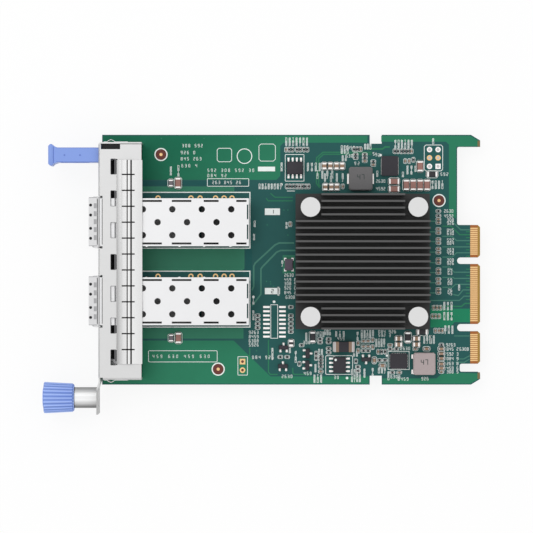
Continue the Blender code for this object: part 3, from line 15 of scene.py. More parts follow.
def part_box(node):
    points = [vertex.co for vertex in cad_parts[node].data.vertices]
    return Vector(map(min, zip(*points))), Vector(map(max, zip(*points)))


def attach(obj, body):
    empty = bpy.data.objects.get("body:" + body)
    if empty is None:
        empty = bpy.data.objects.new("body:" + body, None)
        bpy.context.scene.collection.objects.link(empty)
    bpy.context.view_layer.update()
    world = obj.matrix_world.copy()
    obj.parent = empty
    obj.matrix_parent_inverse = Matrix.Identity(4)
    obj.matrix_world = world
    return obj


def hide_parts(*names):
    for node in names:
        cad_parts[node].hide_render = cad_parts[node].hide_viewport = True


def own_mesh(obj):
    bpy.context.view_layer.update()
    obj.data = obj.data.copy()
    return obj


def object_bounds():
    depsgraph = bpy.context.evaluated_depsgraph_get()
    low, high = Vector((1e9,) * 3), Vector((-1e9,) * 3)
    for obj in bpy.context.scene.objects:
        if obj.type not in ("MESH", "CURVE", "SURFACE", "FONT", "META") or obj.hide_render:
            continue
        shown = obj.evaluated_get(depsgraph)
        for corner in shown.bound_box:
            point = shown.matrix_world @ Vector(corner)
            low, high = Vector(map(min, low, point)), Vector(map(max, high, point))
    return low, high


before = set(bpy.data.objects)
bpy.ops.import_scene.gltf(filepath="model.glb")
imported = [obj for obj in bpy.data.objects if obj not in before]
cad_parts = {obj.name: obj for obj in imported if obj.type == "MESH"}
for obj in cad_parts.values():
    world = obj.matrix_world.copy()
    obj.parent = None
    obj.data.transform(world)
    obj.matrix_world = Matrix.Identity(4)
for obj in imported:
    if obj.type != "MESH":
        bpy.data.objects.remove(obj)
CAD_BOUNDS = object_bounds()

MM = 0.001
BOARD_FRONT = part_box("pcb")[0].x
BOARD_TOP = 0.00157
IN_FRAME = Matrix.Scale(MM, 4)
ON_BOARD = Matrix.Translation((BOARD_FRONT, 0.0, BOARD_TOP)) @ IN_FRAME
UNDER_BOARD = Matrix.Translation((BOARD_FRONT, 0.0, 0.0)) @ IN_FRAME

# Camera, floor and light
CAMERA_PLACE = (0.0506, -0.00207, 0.9016)
CAMERA_LENS = 199.8
CAMERA_SENSOR = 36.0
CAMERA_REACH = 10.0
FLOOR_GAP = 0.0002
FLOOR_REACH = 2.0
FLOOR_TONE = (0.94, 0.94, 0.94, 1.0)
FLOOR_GLOW = 0.86
SKY_AT_HORIZON = 0.14
SKY_FULL_FROM = 0.55
LAMP_PLACE = (-0.25, 0.35, 0.75)
LAMP_TARGET = (0.05, 0.0, 0.0)
LAMP_SIZE = 0.5
LAMP_WATTS = 1.1

# Heights of the layers on the board, and the usual printed line
POUR = 0.012
TRACE = 0.018
PAD = 0.03
SILK = 0.036
SILK_LINE = 0.17


# Materials

FINISHES = {}
MASK_COLOURS = {
    "mask_dark": (33, 89, 86),
    "mask_blue": (20, 86, 84),
    "mask_mid": (50, 124, 97),
    "mask_pour": (36, 124, 92),
    "mask_bright": (24, 130, 92),
    "mask_trace": (70, 128, 112),
    "mask_trace_green": (44, 124, 88),
}
# Places in millimetres and greys: along x on the gasket, painted shade and dark painted reflections in its
# bends and at its front edge; up z in the cage, painted shade low inside it; up z on the heatsink, painted
# shade on the fin walls and a painted highlight on the fin tops; along y on the thumbscrew's barrel,
# painted reflections in light and dark bands; and along y on the bracket, darker below y = -39.6 mm
STRIP_PAINTED_SHADE_AND_REFLECTIONS = (
    (5.5, 160), (7.6, 222), (8.58, 226), (8.62, 60), (8.9, 60), (8.94, 238),
    (9.68, 232), (9.72, 40), (10.14, 40), (10.18, 236), (13.0, 226),
)
CAGE_PAINTED_SHADE = ((1.0, 150), (2.4, 150), (4.5, 224), (12.0, 226))
HEATSINK_PAINTED_SHADE_AND_HIGHLIGHT = ((4.0, 50), (6.5, 50), (6.7, 6), (12.2, 6), (12.4, 84), (12.6, 84))
FERRULE_PAINTED_REFLECTIONS = (
    (-44.97, 120), (-44.5, 120), (-44.2, 160), (-43.7, 205), (-43.1, 226), (-42.2, 252), (-41.5, 226),
    (-41.0, 244), (-40.5, 250), (-40.2, 222), (-39.6, 214), (-39.4, 184), (-39.1, 174), (-38.7, 104),
)
BRACKET_GREYS = ((-46.0, 176), (-39.6, 176), (-38.4, 212), (-30.0, 212))
KNOB_AXIS = (0.0, -0.04182, 0.0045)
KNOB_FRONT = -0.01715
KNOB_RADIUS = 0.00475
KNOB_TAPER = -0.047
KNOB_GROOVE = 0.0003


def linear(red, green, blue):
    """A colour given as screen values from 0 to 255."""
    values = []
    for value in (red, green, blue):
        share = value / 255
        values.append(share / 12.92 if share <= 0.04045 else ((share + 0.055) / 1.055) ** 2.4)
    return (*values, 1.0)


def add_node(tree, kind, values, operation=None):
    """A new node whose inputs are linked to the outputs or set to the plain values given for them."""
    node = tree.nodes.new(kind)
    if operation:
        node.operation = operation
    for key, value in values.items():
        if isinstance(value, bpy.types.NodeSocket):
            tree.links.new(value, node.inputs[key])
        else:
            node.inputs[key].default_value = value
    return node


def object_place(tree):
    return tree.nodes.new("ShaderNodeTexCoord").outputs["Object"]


def finish(name, colour, roughness, metallic=0.0, specular=0.5, grain=0.0, bump=0.0, size=900.0):
    """A material with a little variation: grain mottles the colour and bump roughens the surface."""
    material = bpy.data.materials.new(name)
    material.use_nodes = True
    tree = material.node_tree
    shader = tree.nodes["Principled BSDF"]
    shader.inputs["Base Color"].default_value = linear(*colour)
    shader.inputs["Roughness"].default_value = roughness
    shader.inputs["Metallic"].default_value = metallic
    shader.inputs["Specular IOR Level"].default_value = specular
    if grain or bump:
        values = {"Vector": object_place(tree), "Scale": size, "Detail": 3.0}
        noise = add_node(tree, "ShaderNodeTexNoise", values).outputs["Fac"]
    if grain:
        values = {"Fac": grain, "Color1": linear(*colour), "Color2": noise}
        mottled = add_node(tree, "ShaderNodeMixRGB", values)
        mottled.name = "grain"
        mottled.blend_type = "MULTIPLY"
        tree.links.new(mottled.outputs["Color"], shader.inputs["Base Color"])
    if bump:
        relief = add_node(tree, "ShaderNodeBump", {"Strength": bump, "Distance": 0.0001, "Height": noise})
        tree.links.new(relief.outputs["Normal"], shader.inputs["Normal"])
    FINISHES[name] = material


def colour_input(name):
    """The socket that takes a finish's colour, before its grain."""
    nodes = FINISHES[name].node_tree.nodes
    mottled = nodes.get("grain")
    return mottled.inputs["Color1"] if mottled else nodes["Principled BSDF"].inputs["Base Color"]


def blended(name, factor, first, second):
    """Gives a finish a colour between two, by a factor from 0 to 1."""
    tree = FINISHES[name].node_tree
    values = {"Fac": factor, "Color1": linear(*first), "Color2": linear(*second)}
    drift = add_node(tree, "ShaderNodeMixRGB", values)
    tree.links.new(drift.outputs["Color"], colour_input(name))


def graded(name, first, second, weights, offset):
    """A colour that drifts over the object, by offset + weights . place for a place in metres."""
    tree = FINISHES[name].node_tree
    share = add_node(tree, "ShaderNodeVectorMath", {0: object_place(tree), 1: weights}, "DOT_PRODUCT")
    total = add_node(tree, "ShaderNodeMath", {0: share.outputs["Value"], 1: offset}, "ADD")
    total.use_clamp = True
    blended(name, total.outputs["Value"], first, second)


def ramped(name, axis, stops):
    """A grey that changes along one axis of the object."""
    tree = FINISHES[name].node_tree
    first, last = stops[0][0], stops[-1][0]
    split = add_node(tree, "ShaderNodeSeparateXYZ", {"Vector": object_place(tree)})
    values = {"Value": split.outputs[axis], "From Min": first * MM, "From Max": last * MM}
    share = add_node(tree, "ShaderNodeMapRange", values)
    ramp = add_node(tree, "ShaderNodeValToRGB", {"Fac": share.outputs["Result"]})
    points = ramp.color_ramp.elements
    while len(points) < len(stops):
        points.new(0.5)
    for point, (at, grey) in zip(points, stops):
        point.position = (at - first) / (last - first)
        point.color = linear(grey, grey, grey)
    tree.links.new(ramp.outputs["Color"], colour_input(name))


def painted_flute_shade(name, ridge, groove_shade):
    """Painted shade: a colour that darkens where the surface lies in a flute of the tapered knob."""
    tree = FINISHES[name].node_tree
    place = object_place(tree)
    centred = add_node(tree, "ShaderNodeVectorMath", {0: place, 1: KNOB_AXIS}, "SUBTRACT")
    values = {0: centred.outputs["Vector"], 1: (0.0, 1.0, 1.0)}
    flat = add_node(tree, "ShaderNodeVectorMath", values, "MULTIPLY")
    reach = add_node(tree, "ShaderNodeVectorMath", {0: flat.outputs["Vector"]}, "LENGTH")
    along = add_node(tree, "ShaderNodeSeparateXYZ", {"Vector": place})
    values = {0: along.outputs["X"], 1: KNOB_TAPER, 2: KNOB_RADIUS - KNOB_TAPER * KNOB_FRONT}
    outer = add_node(tree, "ShaderNodeMath", values, "MULTIPLY_ADD")
    values = {0: outer.outputs["Value"], 1: reach.outputs["Value"]}
    depth = add_node(tree, "ShaderNodeMath", values, "SUBTRACT").outputs["Value"]
    values = {"Value": depth, "From Min": 0.1 * KNOB_GROOVE, "From Max": KNOB_GROOVE}
    share = add_node(tree, "ShaderNodeMapRange", values)
    rim = add_node(tree, "ShaderNodeMath", {0: depth, 1: 1.6 * KNOB_GROOVE}, "LESS_THAN")
    values = {0: share.outputs["Result"], 1: rim.outputs["Value"]}
    factor = add_node(tree, "ShaderNodeMath", values, "MULTIPLY")
    blended(name, factor.outputs["Value"], ridge, groove_shade)


def make_print_finishes():
    """Solder mask, print, bare copper and plating."""
    for name, colour in MASK_COLOURS.items():
        finish(name, colour, 0.42, specular=0.18, grain=0.12, size=260.0)
    graded("mask_pour", (4, 104, 75), (38, 124, 92), (30.0, -28.0, 0.0), 0.25)
    finish("silk", (244, 250, 247), 0.6, specular=0.2, grain=0.1)
    finish("label_ink", (70, 78, 76), 0.7, specular=0.2)
    finish("gold", (240, 200, 142), 0.34, 0.7, grain=0.06)
    finish("gold_deep", (168, 100, 44), 0.5, 0.4, grain=0.15)
    finish("gold_bevel", (176, 138, 66), 0.4, 0.7, grain=0.15)
    finish("bare_edge", (124, 106, 70), 0.6, specular=0.3)
    finish("copper_brown", (104, 52, 44), 0.55, specular=0.3)
    finish("tin", (250, 247, 245), 0.34, 0.7, grain=0.05)
    finish("tin_dull", (196, 192, 190), 0.4, 0.6, grain=0.1)
    finish("solder", (196, 193, 192), 0.3, 0.7, bump=0.2)


def make_part_finishes():
    """Packages, ceramics, plastics and ferrite on the board."""
    finish("epoxy", (56, 54, 60), 0.62, specular=0.3, grain=0.25, bump=0.12, size=2600.0)
    finish("epoxy_black", (36, 33, 38), 0.6, specular=0.35, grain=0.2, bump=0.12, size=2600.0)
    finish("ceramic_tan", (160, 130, 106), 0.45, grain=0.15)
    finish("ceramic_brown", (158, 112, 102), 0.45, grain=0.15)
    finish("ceramic_grey", (112, 106, 112), 0.5, grain=0.15)
    finish("resistor", (28, 26, 32), 0.4, grain=0.15)
    finish("fuse_band", (150, 124, 104), 0.45, 0.3, grain=0.2)
    finish("oscillator_lid", (88, 78, 92), 0.5, 0.3, grain=0.15)
    finish("ferrite", (112, 111, 112), 0.7, specular=0.3, grain=0.2, bump=0.2, size=2200.0)
    finish("ferrite_mauve", (180, 166, 166), 0.7, specular=0.3, grain=0.2, bump=0.2, size=2200.0)
    finish("connector", (22, 22, 24), 0.5, grain=0.2)
    finish("nylon", (220, 220, 220), 0.45, specular=0.35, grain=0.03)
    # Black painted shade under the bracket's flange and in its corner slot
    finish("shade_black", (26, 26, 28), 0.6, specular=0.3, grain=0.2)
    finish("gap_pad", (150, 156, 170), 0.85)


def make_metal_finishes():
    """Sheet metal, turned and wound metal, the heatsink, and the dark and grey painted shade for gaps and
    edges.
    """
    finish("bracket", (212, 212, 213), 0.42, 0.9, grain=0.04, size=400.0)
    ramped("bracket", "Y", BRACKET_GREYS)
    finish("ferrule", (226, 226, 227), 0.42, 0.35, specular=0.3)
    # Painted reflections: light and dark bands across the thumbscrew's barrel
    ramped("ferrule", "Y", FERRULE_PAINTED_REFLECTIONS)
    finish("strip", (226, 226, 227), 0.22, 1.0, grain=0.02)
    # Painted shade and dark painted reflections in the gasket's bends, and painted shade at its front edge
    ramped("strip", "X", STRIP_PAINTED_SHADE_AND_REFLECTIONS)
    finish("cage_base", (226, 226, 227), 0.4, 0.8, grain=0.1)
    # Painted shade low inside the cage, seen through its vents
    ramped("cage_base", "Z", CAGE_PAINTED_SHADE)
    finish("anodised", (58, 56, 58), 0.5, 0.3, grain=0.12, size=700.0)
    # Painted shade on the fin walls and a painted highlight on the fin tops
    ramped("anodised", "Z", HEATSINK_PAINTED_SHADE_AND_HIGHLIGHT)
    finish("spring_plain", (222, 222, 223), 0.25, 1.0)
    finish("collar", (214, 214, 215), 0.4, 0.7, grain=0.08)
    finish("cage", (234, 234, 235), 0.28, 0.95, grain=0.03, size=300.0)
    finish("steel", (218, 218, 220), 0.18, 1.0)
    finish("wire", (200, 200, 204), 0.25, 1.0)
    # The next three finishes are painted shade for gaps, slits, holes, windows and window edges
    finish("dark_shade", (34, 34, 36), 0.6, specular=0.2, grain=0.1)
    finish("grey_shade", (168, 168, 170), 0.5, 0.5, grain=0.1)
    finish("window_edge_shade", (120, 120, 122), 0.6, 0.2, specular=0.2)


def make_blue_finishes():
    """Moulded plastic of the pull tab and the knob, with painted shade in the knob's flutes."""
    finish("blue", (128, 156, 226), 0.4, grain=0.04, size=1200.0)
    finish("blue_shade", (96, 122, 198), 0.45, specular=0.4, grain=0.04, size=1200.0)
    finish("blue_with_flute_shade", (166, 192, 250), 0.4)
    # Painted shade in the knob's flutes
    painted_flute_shade("blue_with_flute_shade", (166, 192, 250), (94, 124, 204))


# Outlines and pieces

class Shape:
    """Gathers the faces of one piece, with one finish for each of its parts."""

    def __init__(self, finishes, matrix=ON_BOARD):
        self.finishes = finishes
        self.matrix = matrix
        self.faces = bmesh.new()

    def add(self, points, faces, finish_name):
        corners = [self.faces.verts.new(point) for point in points]
        index = self.finishes.index(finish_name)
        for face in faces:
            made = self.faces.faces.new([corners[number] for number in face])
            made.material_index = index

    def stack(self, sections, finish_name):
        """Joins sections of equal point count into one closed solid, from the lowest to the highest."""
        count = len(sections[0])
        points = [point for section in sections for point in section]
        faces = [tuple(reversed(range(count)))]
        for level in range(len(sections) - 1):
            for index in range(count):
                near = level * count + index
                following = level * count + (index + 1) % count
                faces.append((near, following, following + count, near + count))
        top = (len(sections) - 1) * count
        faces.append(tuple(range(top, top + count)))
        self.add(points, faces, finish_name)

    def prism(self, outline, low, high, finish_name):
        """A plate: the outline runs counter-clockwise seen from above."""
        self.stack([[(x, y, z) for x, y in outline] for z in (low, high)], finish_name)

    def box(self, low, high, finish_name):
        self.prism(rectangle(low[0], low[1], high[0], high[1]), low[2], high[2], finish_name)

    def plate(self, centre, size, low, high, finish_name):
        """A box given by its middle and size."""
        near = (centre[0] - size[0] / 2, centre[1] - size[1] / 2, low)
        far = (centre[0] + size[0] / 2, centre[1] + size[1] / 2, high)
        self.box(near, far, finish_name)

    def disc(self, centre, radius, low, high, finish_name, sides):
        self.prism(circle(centre, radius, sides), low, high, finish_name)

    def band(self, inner, outer, low, high, finish_name):
        """A flat ring between two outlines of equal point count."""
        count = len(inner)
        points = []
        for outline, level in ((inner, low), (outer, low), (outer, high), (inner, high)):
            points += [(x, y, level) for x, y in outline]
        faces = []
        for side in range(4):
            near, far = side * count, (side + 1) % 4 * count
            for index in range(count):
                following = (index + 1) % count
                faces.append((near + index, near + following, far + following, far + index))
        self.add(points, faces, finish_name)

    def ring(self, centre, outer, inner, low, high, finish_name, sides):
        self.band(circle(centre, inner, sides), circle(centre, outer, sides), low, high, finish_name)

    def line(self, points, width, low, high, finish_name):
        """A strip of constant width along a line of points."""
        left, right = offset_line(points, width / 2)
        self.prism(right + left[::-1], low, high, finish_name)

    def loop(self, points, width, low, high, finish_name):
        """A closed strip of constant width along a ring of points that runs counter-clockwise."""
        inner, outer = offset_line(points, width / 2, closed=True)
        self.band(inner, outer, low, high, finish_name)

    def stamp(self, other, matrix):
        """Adds a copy of another shape, placed by a matrix, with finishes found by name."""
        order = [self.finishes.index(name) for name in other.finishes]
        copies = {}
        for vertex in other.faces.verts:
            copies[vertex] = self.faces.verts.new(matrix @ vertex.co)
        for face in other.faces.faces:
            made = self.faces.faces.new([copies[vertex] for vertex in face.verts])
            made.material_index = order[face.material_index]

    def build(self, name, slot, body="card", replaces=(), smooth_angle=None):
        """Makes the object, in metres, and ties it to its CAD body."""
        bmesh.ops.recalc_face_normals(self.faces, faces=self.faces.faces)
        bmesh.ops.transform(self.faces, matrix=self.matrix, verts=self.faces.verts)
        mesh = bpy.data.meshes.new(name)
        self.faces.to_mesh(mesh)
        self.faces.free()
        piece = bpy.data.objects.new(name, mesh)
        bpy.context.scene.collection.objects.link(piece)
        for finish_name in self.finishes:
            mesh.materials.append(FINISHES[finish_name])
        if smooth_angle:
            mesh.shade_smooth()
            mesh.set_sharp_from_angle(angle=math.radians(smooth_angle))
        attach(piece, body)
        if replaces:
            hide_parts(*replaces)
        return piece


def circle(centre, radius, sides):
    angles = [math.tau * index / sides for index in range(sides)]
    return [(centre[0] + radius * math.cos(angle), centre[1] + radius * math.sin(angle)) for angle in angles]


def rectangle(low_x, low_y, high_x, high_y, corner=0.0):
    """Corners of a rectangle, counter-clockwise, cut off by the given length if asked."""
    if not corner:
        return [(low_x, low_y), (high_x, low_y), (high_x, high_y), (low_x, high_y)]
    return [
        (low_x + corner, low_y),
        (high_x - corner, low_y),
        (high_x, low_y + corner),
        (high_x, high_y - corner),
        (high_x - corner, high_y),
        (low_x + corner, high_y),
        (low_x, high_y - corner),
        (low_x, low_y + corner),
    ]


def offset_line(points, distance, closed=False):
    """The lines at a distance to the left and to the right of a line of points."""
    places = [Vector(point) for point in points]
    count = len(places)
    left, right = [], []
    for index, place in enumerate(places):
        directions = []
        if closed or index:
            directions.append((place - places[index - 1]).normalized())
        if closed or index < count - 1:
            directions.append((places[(index + 1) % count] - place).normalized())
        normals = [Vector((-direction.y, direction.x)) for direction in directions]
        middle = sum(normals, Vector((0.0, 0.0))).normalized()
        reach = distance / max(0.3, middle.dot(normals[0]))
        left.append(tuple(place + middle * reach))
        right.append(tuple(place - middle * reach))
    return left, right


def block_sections(half_x, half_y, corner, levels, centre=(0.0, 0.0)):
    """Sections of an upright block with cut corners, one for each height and inset."""
    sections = []
    for level, inset in levels:
        x, y = half_x - inset, half_y - inset
        outline = rectangle(centre[0] - x, centre[1] - y, centre[0] + x, centre[1] + y, corner)
        sections.append([(along, across, level) for along, across in outline])
    return sections


def rounded_sections(half_x, half_y, low, high, edge, middle=0.0):
    """Sections of a block with cut corners and a cut upper rim, with its middle at the given x."""
    levels = ((low, 0.0), (high - edge, 0.0), (high, edge * 0.8))
    return block_sections(half_x, half_y, edge * 0.6, levels, (middle, 0.0))


def placed(x, y, turn, z=0.0):
    return Matrix.Translation((x, y, z)) @ Matrix.Rotation(math.radians(turn), 4, "Z")


def in_row(y, *places):
    return tuple((x, y) for x in places)


def in_column(x, *places):
    return tuple((x, y) for y in places)


# Board: copper areas and traces that show through the mask

POURS = (
    ("mask_pour", ((0.3, 24.3), (53.0, 24.3), (54.2, 25.5), (54.2, 34.6), (55.2, 35.6), (80.7, 35.6),
                   (80.7, 37.7), (0.3, 37.7))),
    ("mask_pour", ((84.9, 35.9), (104.6, 35.9), (105.5, 35.0), (105.5, 14.0), (106.4, 13.1), (107.7, 12.6),
                   (107.7, 34.4), (114.2, 34.5), (114.6, 35.0), (114.6, 36.2), (112.0, 37.7), (84.9, 37.7))),
    ("mask_mid", ((0.3, 20.7), (40.2, 20.7), (40.2, 22.3), (0.3, 22.3))),
    ("mask_mid", ((0.3, -24.0), (43.0, -24.0), (43.0, -20.8), (0.3, -20.8))),
    ("mask_mid", ((0.3, -3.4), (42.6, -3.4), (43.3, -2.7), (43.3, 3.4), (0.3, 3.4))),
    ("mask_pour", ((0.3, -37.7), (81.1, -37.7), (81.1, -35.5), (51.2, -35.5), (40.0, -24.6), (0.3, -24.6))),
    ("mask_pour", ((85.3, -37.7), (112.0, -37.7), (114.6, -36.2), (114.6, -34.6), (108.3, -34.4),
                   (103.2, -34.8), (101.7, -36.1), (85.3, -36.1))),
    ("mask_bright", ((99.9, -20.6), (105.9, -20.6), (107.2, -19.0), (112.0, -19.0), (112.0, -14.9),
                     (99.9, -14.9))),
    ("mask_mid", ((54.9, -4.2), (58.6, -4.2), (58.6, 1.4), (54.9, 1.4))),
    ("mask_blue", ((12.5, 22.6), (31.9, 22.6), (31.9, 24.0), (12.5, 24.0))),
    ("mask_blue", ((43.6, -3.2), (45.6, -3.2), (45.6, 3.2), (43.6, 3.2))),
)
# Each group has a finish, a width and its lines
TRACES = (
    ("mask_trace", 0.5, (
        ((58.4, 5.1), (53.9, 5.1), (52.6, 4.5), (46.5, -1.1), (46.1, -2.0), (46.1, -8.1), (45.6, -9.3)),
        ((58.8, 2.8), (54.3, 2.8), (53.1, 2.3), (48.9, -2.0), (48.3, -2.8), (48.3, -10.5), (45.6, -14.1)),
    )),
    ("mask_trace_green", 0.3, (
        ((58.0, 19.0), (52.6, 19.0), (51.2, 20.2)),
        ((58.0, 17.9), (50.5, 17.9), (49.9, 18.7)),
    )),
    ("mask_trace_green", 0.35, (
        ((82.0, 32.7), (67.2, 32.7), (65.2, 31.0), (65.2, 23.2), (66.2, 21.9)),
        ((82.0, 32.1), (67.4, 32.1), (65.9, 30.8), (65.9, 22.8), (66.6, 22.3)),
    )),
    ("mask_trace_green", 0.5, (((80.7, 33.7), (85.3, 33.7), (86.1, 34.3), (87.5, 34.3)),)),
    ("mask_trace_green", 0.35, (
        ((50.6, -24.4), (50.6, -34.2), (51.2, -34.9), (53.4, -34.9)),
        ((44.9, -26.8), (44.9, -29.8)),
        ((58.0, -32.9), (58.0, -34.5), (58.4, -34.9), (63.7, -34.9)),
        ((103.5, 10.2), (106.2, 10.2), (108.8, 7.6), (112.0, 7.6)),
    )),
    ("mask_trace", 0.35, (
        ((106.2, 11.9), (109.1, 9.1), (112.0, 9.1)),
        ((103.5, 7.1), (106.5, 7.1), (107.8, 5.8), (112.0, 5.8)),
        ((103.5, 3.9), (112.0, 3.9)),
        ((103.5, 0.8), (106.5, 0.8), (107.8, 2.1), (112.0, 2.1)),
        ((103.5, -2.2), (105.7, -2.2), (107.1, -3.8), (112.0, -3.8)),
        ((103.5, -5.4), (106.8, -5.4), (107.1, -5.7), (112.0, -5.7)),
        ((103.5, -8.4), (106.5, -8.4), (107.5, -7.5), (112.0, -7.5)),
        ((106.8, -10.6), (108.4, -10.9), (109.8, -9.2), (112.0, -9.2)),
        ((99.9, -12.4), (108.7, -12.4), (110.1, -11.1), (112.0, -11.1)),
    )),
    ("mask_trace_green", 0.4, (((99.9, -14.2), (109.3, -14.2), (110.4, -13.3), (112.0, -13.3)),)),
    ("mask_trace", 0.3, (
        ((107.1, -23.2), (111.8, -23.2)),
        ((107.6, -30.2), (110.0, -30.2), (111.8, -29.2)),
        ((107.6, -31.2), (110.2, -31.2), (111.8, -30.2)),
    )),
)
STUBS = (99.5, 101.6)
STUB_ROWS = (11.7, 8.5, 5.5, 2.3, -0.9, -3.9, -7.0, -10.1)
DASHES = (110.7, 111.9)
DASH_ROWS = (8.5, 6.7, 4.8, 3.0, 1.1, -2.9, -4.8, -6.5, -8.4, -10.2, -12.1)


def make_mask_layers():
    """Copper areas and traces stand a few hundredths proud, as copper under solder mask does."""
    shape = Shape(["mask_pour", "mask_mid", "mask_bright", "mask_blue", "mask_trace", "mask_trace_green"])
    for finish_name, outline in POURS:
        shape.prism(outline, 0.0, POUR, finish_name)
    for finish_name, width, lines in TRACES:
        for line in lines:
            shape.line(line, width, 0.0, TRACE, finish_name)
    for y in STUB_ROWS:
        shape.line(in_row(y, *STUBS), 0.35, 0.0, TRACE, "mask_trace")
    for y in DASH_ROWS:
        shape.line(in_row(y, *DASHES), 0.3, 0.0, TRACE, "mask_trace_green")
    shape.build("board_copper_under_mask", slot="board")


# Card edge contacts: centre line and number of contacts of each tongue

TONGUES = ((5.62, 14), (-10.43, 28), (-26.71, 14))
CONTACT_PITCH = 0.6
CONTACT_WIDTH = 0.4
CONTACT_START = 112.0
CONTACT_END = 114.22
CONTACT_HEIGHT = 0.065
FIELD_HEIGHT = 0.02
FIELD_MARGIN = 0.02
TONGUE_MARGIN = 0.75
BEVEL_START = 114.3
BEVEL_END = 115.005
BEVEL_DROP = 0.33
BEVEL_SHEET = 0.05
BEVEL_LIFT = 0.01
BEVEL_CORNER = 0.72
BOARD_THICKNESS = 1.57


def tongue_bevel(centre, half, base, sign):
    """The bevelled tip of one face of a tongue, as its lower and its upper outline."""
    wide, narrow = half - FIELD_MARGIN, half - BEVEL_CORNER
    outline = [
        (CONTACT_END, centre - wide, base + sign * BEVEL_LIFT),
        (BEVEL_START, centre - wide, base + sign * BEVEL_LIFT / 2),
        (BEVEL_END, centre - narrow, base - sign * BEVEL_DROP),
        (BEVEL_END, centre + narrow, base - sign * BEVEL_DROP),
        (BEVEL_START, centre + wide, base + sign * BEVEL_LIFT / 2),
        (CONTACT_END, centre + wide, base + sign * BEVEL_LIFT),
    ]
    sunk = [(x, y, z - sign * BEVEL_SHEET) for x, y, z in outline]
    return [sunk, outline] if sign > 0 else [outline, sunk]


def make_card_edge():
    """Gold contacts on both faces, the copper field they stand on and the bevelled tip."""
    shape = Shape(["gold", "gold_deep", "gold_bevel"])
    for centre, contacts in TONGUES:
        half = contacts * CONTACT_PITCH / 2 + TONGUE_MARGIN
        reach = half - FIELD_MARGIN
        for base, sign in ((0.0, 1), (-BOARD_THICKNESS, -1)):
            low, high = sorted((base, base + sign * FIELD_HEIGHT))
            near = (CONTACT_START - FIELD_MARGIN, centre - reach, low)
            shape.box(near, (CONTACT_END + FIELD_MARGIN, centre + reach, high), "gold_deep")
            low, high = sorted((base, base + sign * CONTACT_HEIGHT))
            for index in range(contacts):
                y = centre + (index - (contacts - 1) / 2) * CONTACT_PITCH
                near = (CONTACT_START, y - CONTACT_WIDTH / 2, low)
                shape.box(near, (CONTACT_END, y + CONTACT_WIDTH / 2, high), "gold")
            shape.stack(tongue_bevel(centre, half, base, sign), "gold_bevel")
    shape.build("card_edge_contacts", slot="gold_contact")


# Silkscreen

CAGE_FRAMES = ((3.5, 20.5), (-20.5, -3.5))
CAGE_FRAME_X = (11.0, 44.96)
CAGE_FRAME_LINE = 0.3
# Printed rectangles: limits, and the length cut off each corner
SILK_RECTANGLES = (
    (32.0, 22.35, 44.6, 24.65, 0.12),
    (14.1, -31.1, 35.0, -27.7, 0.25),
    (41.3, -35.1, 44.2, -29.5, 0.12),
    (51.3, -23.9, 53.4, -13.7, 0.0),
    (55.7, 23.9, 61.4, 32.0, 0.12),
    (68.0, -34.9, 76.2, -29.2, 0.25),
    (87.0, -33.4, 93.4, -27.9, 0.0),
    (47.7, 30.0, 52.7, 35.2, 0.6),
    (35.0, 29.8, 39.4, 33.9, 0.5),
    (98.0, 27.0, 103.6, 34.9, 0.5),
)
# Printed bars: limits, and the dark digit on each if it has one
SILK_BARS = ((47.4, 26.9, 52.6, 28.3, None), (49.5, 13.6, 54.1, 15.6, 1), (49.5, -10.5, 54.1, -8.6, 2))
SILK_DOTS = (
    (86.6, -29.2, 0.35), (54.5, 22.9, 0.42), (52.3, -12.8, 0.42), (84.7, 31.8, 0.4), (66.9, -24.0, 0.35),
    (88.2, -27.1, 0.35), (70.6, -30.0, 0.6), (74.5, -36.0, 0.4), (46.0, -11.3, 0.4),
)
# Dots for the placing machine: middles, radii of the printed ring, and radii of the bare well and the dot
FIDUCIALS = ((17.9, 32.0), (35.3, -33.3), (102.5, 18.0))
FIDUCIAL_RING = (2.0, 1.66)
FIDUCIAL_WELL = 1.62
FIDUCIAL_DOT = 0.48
ROUND_SIGN = (43.3, 31.5)
ROUND_SIGN_RING = (2.35, 2.1)
BAR_DIGIT = (0.6, 1.1)
BAR_DIGIT_LINE = 0.2
SHORT_LINE = ((56.2, 20.9), (58.6, 20.9))
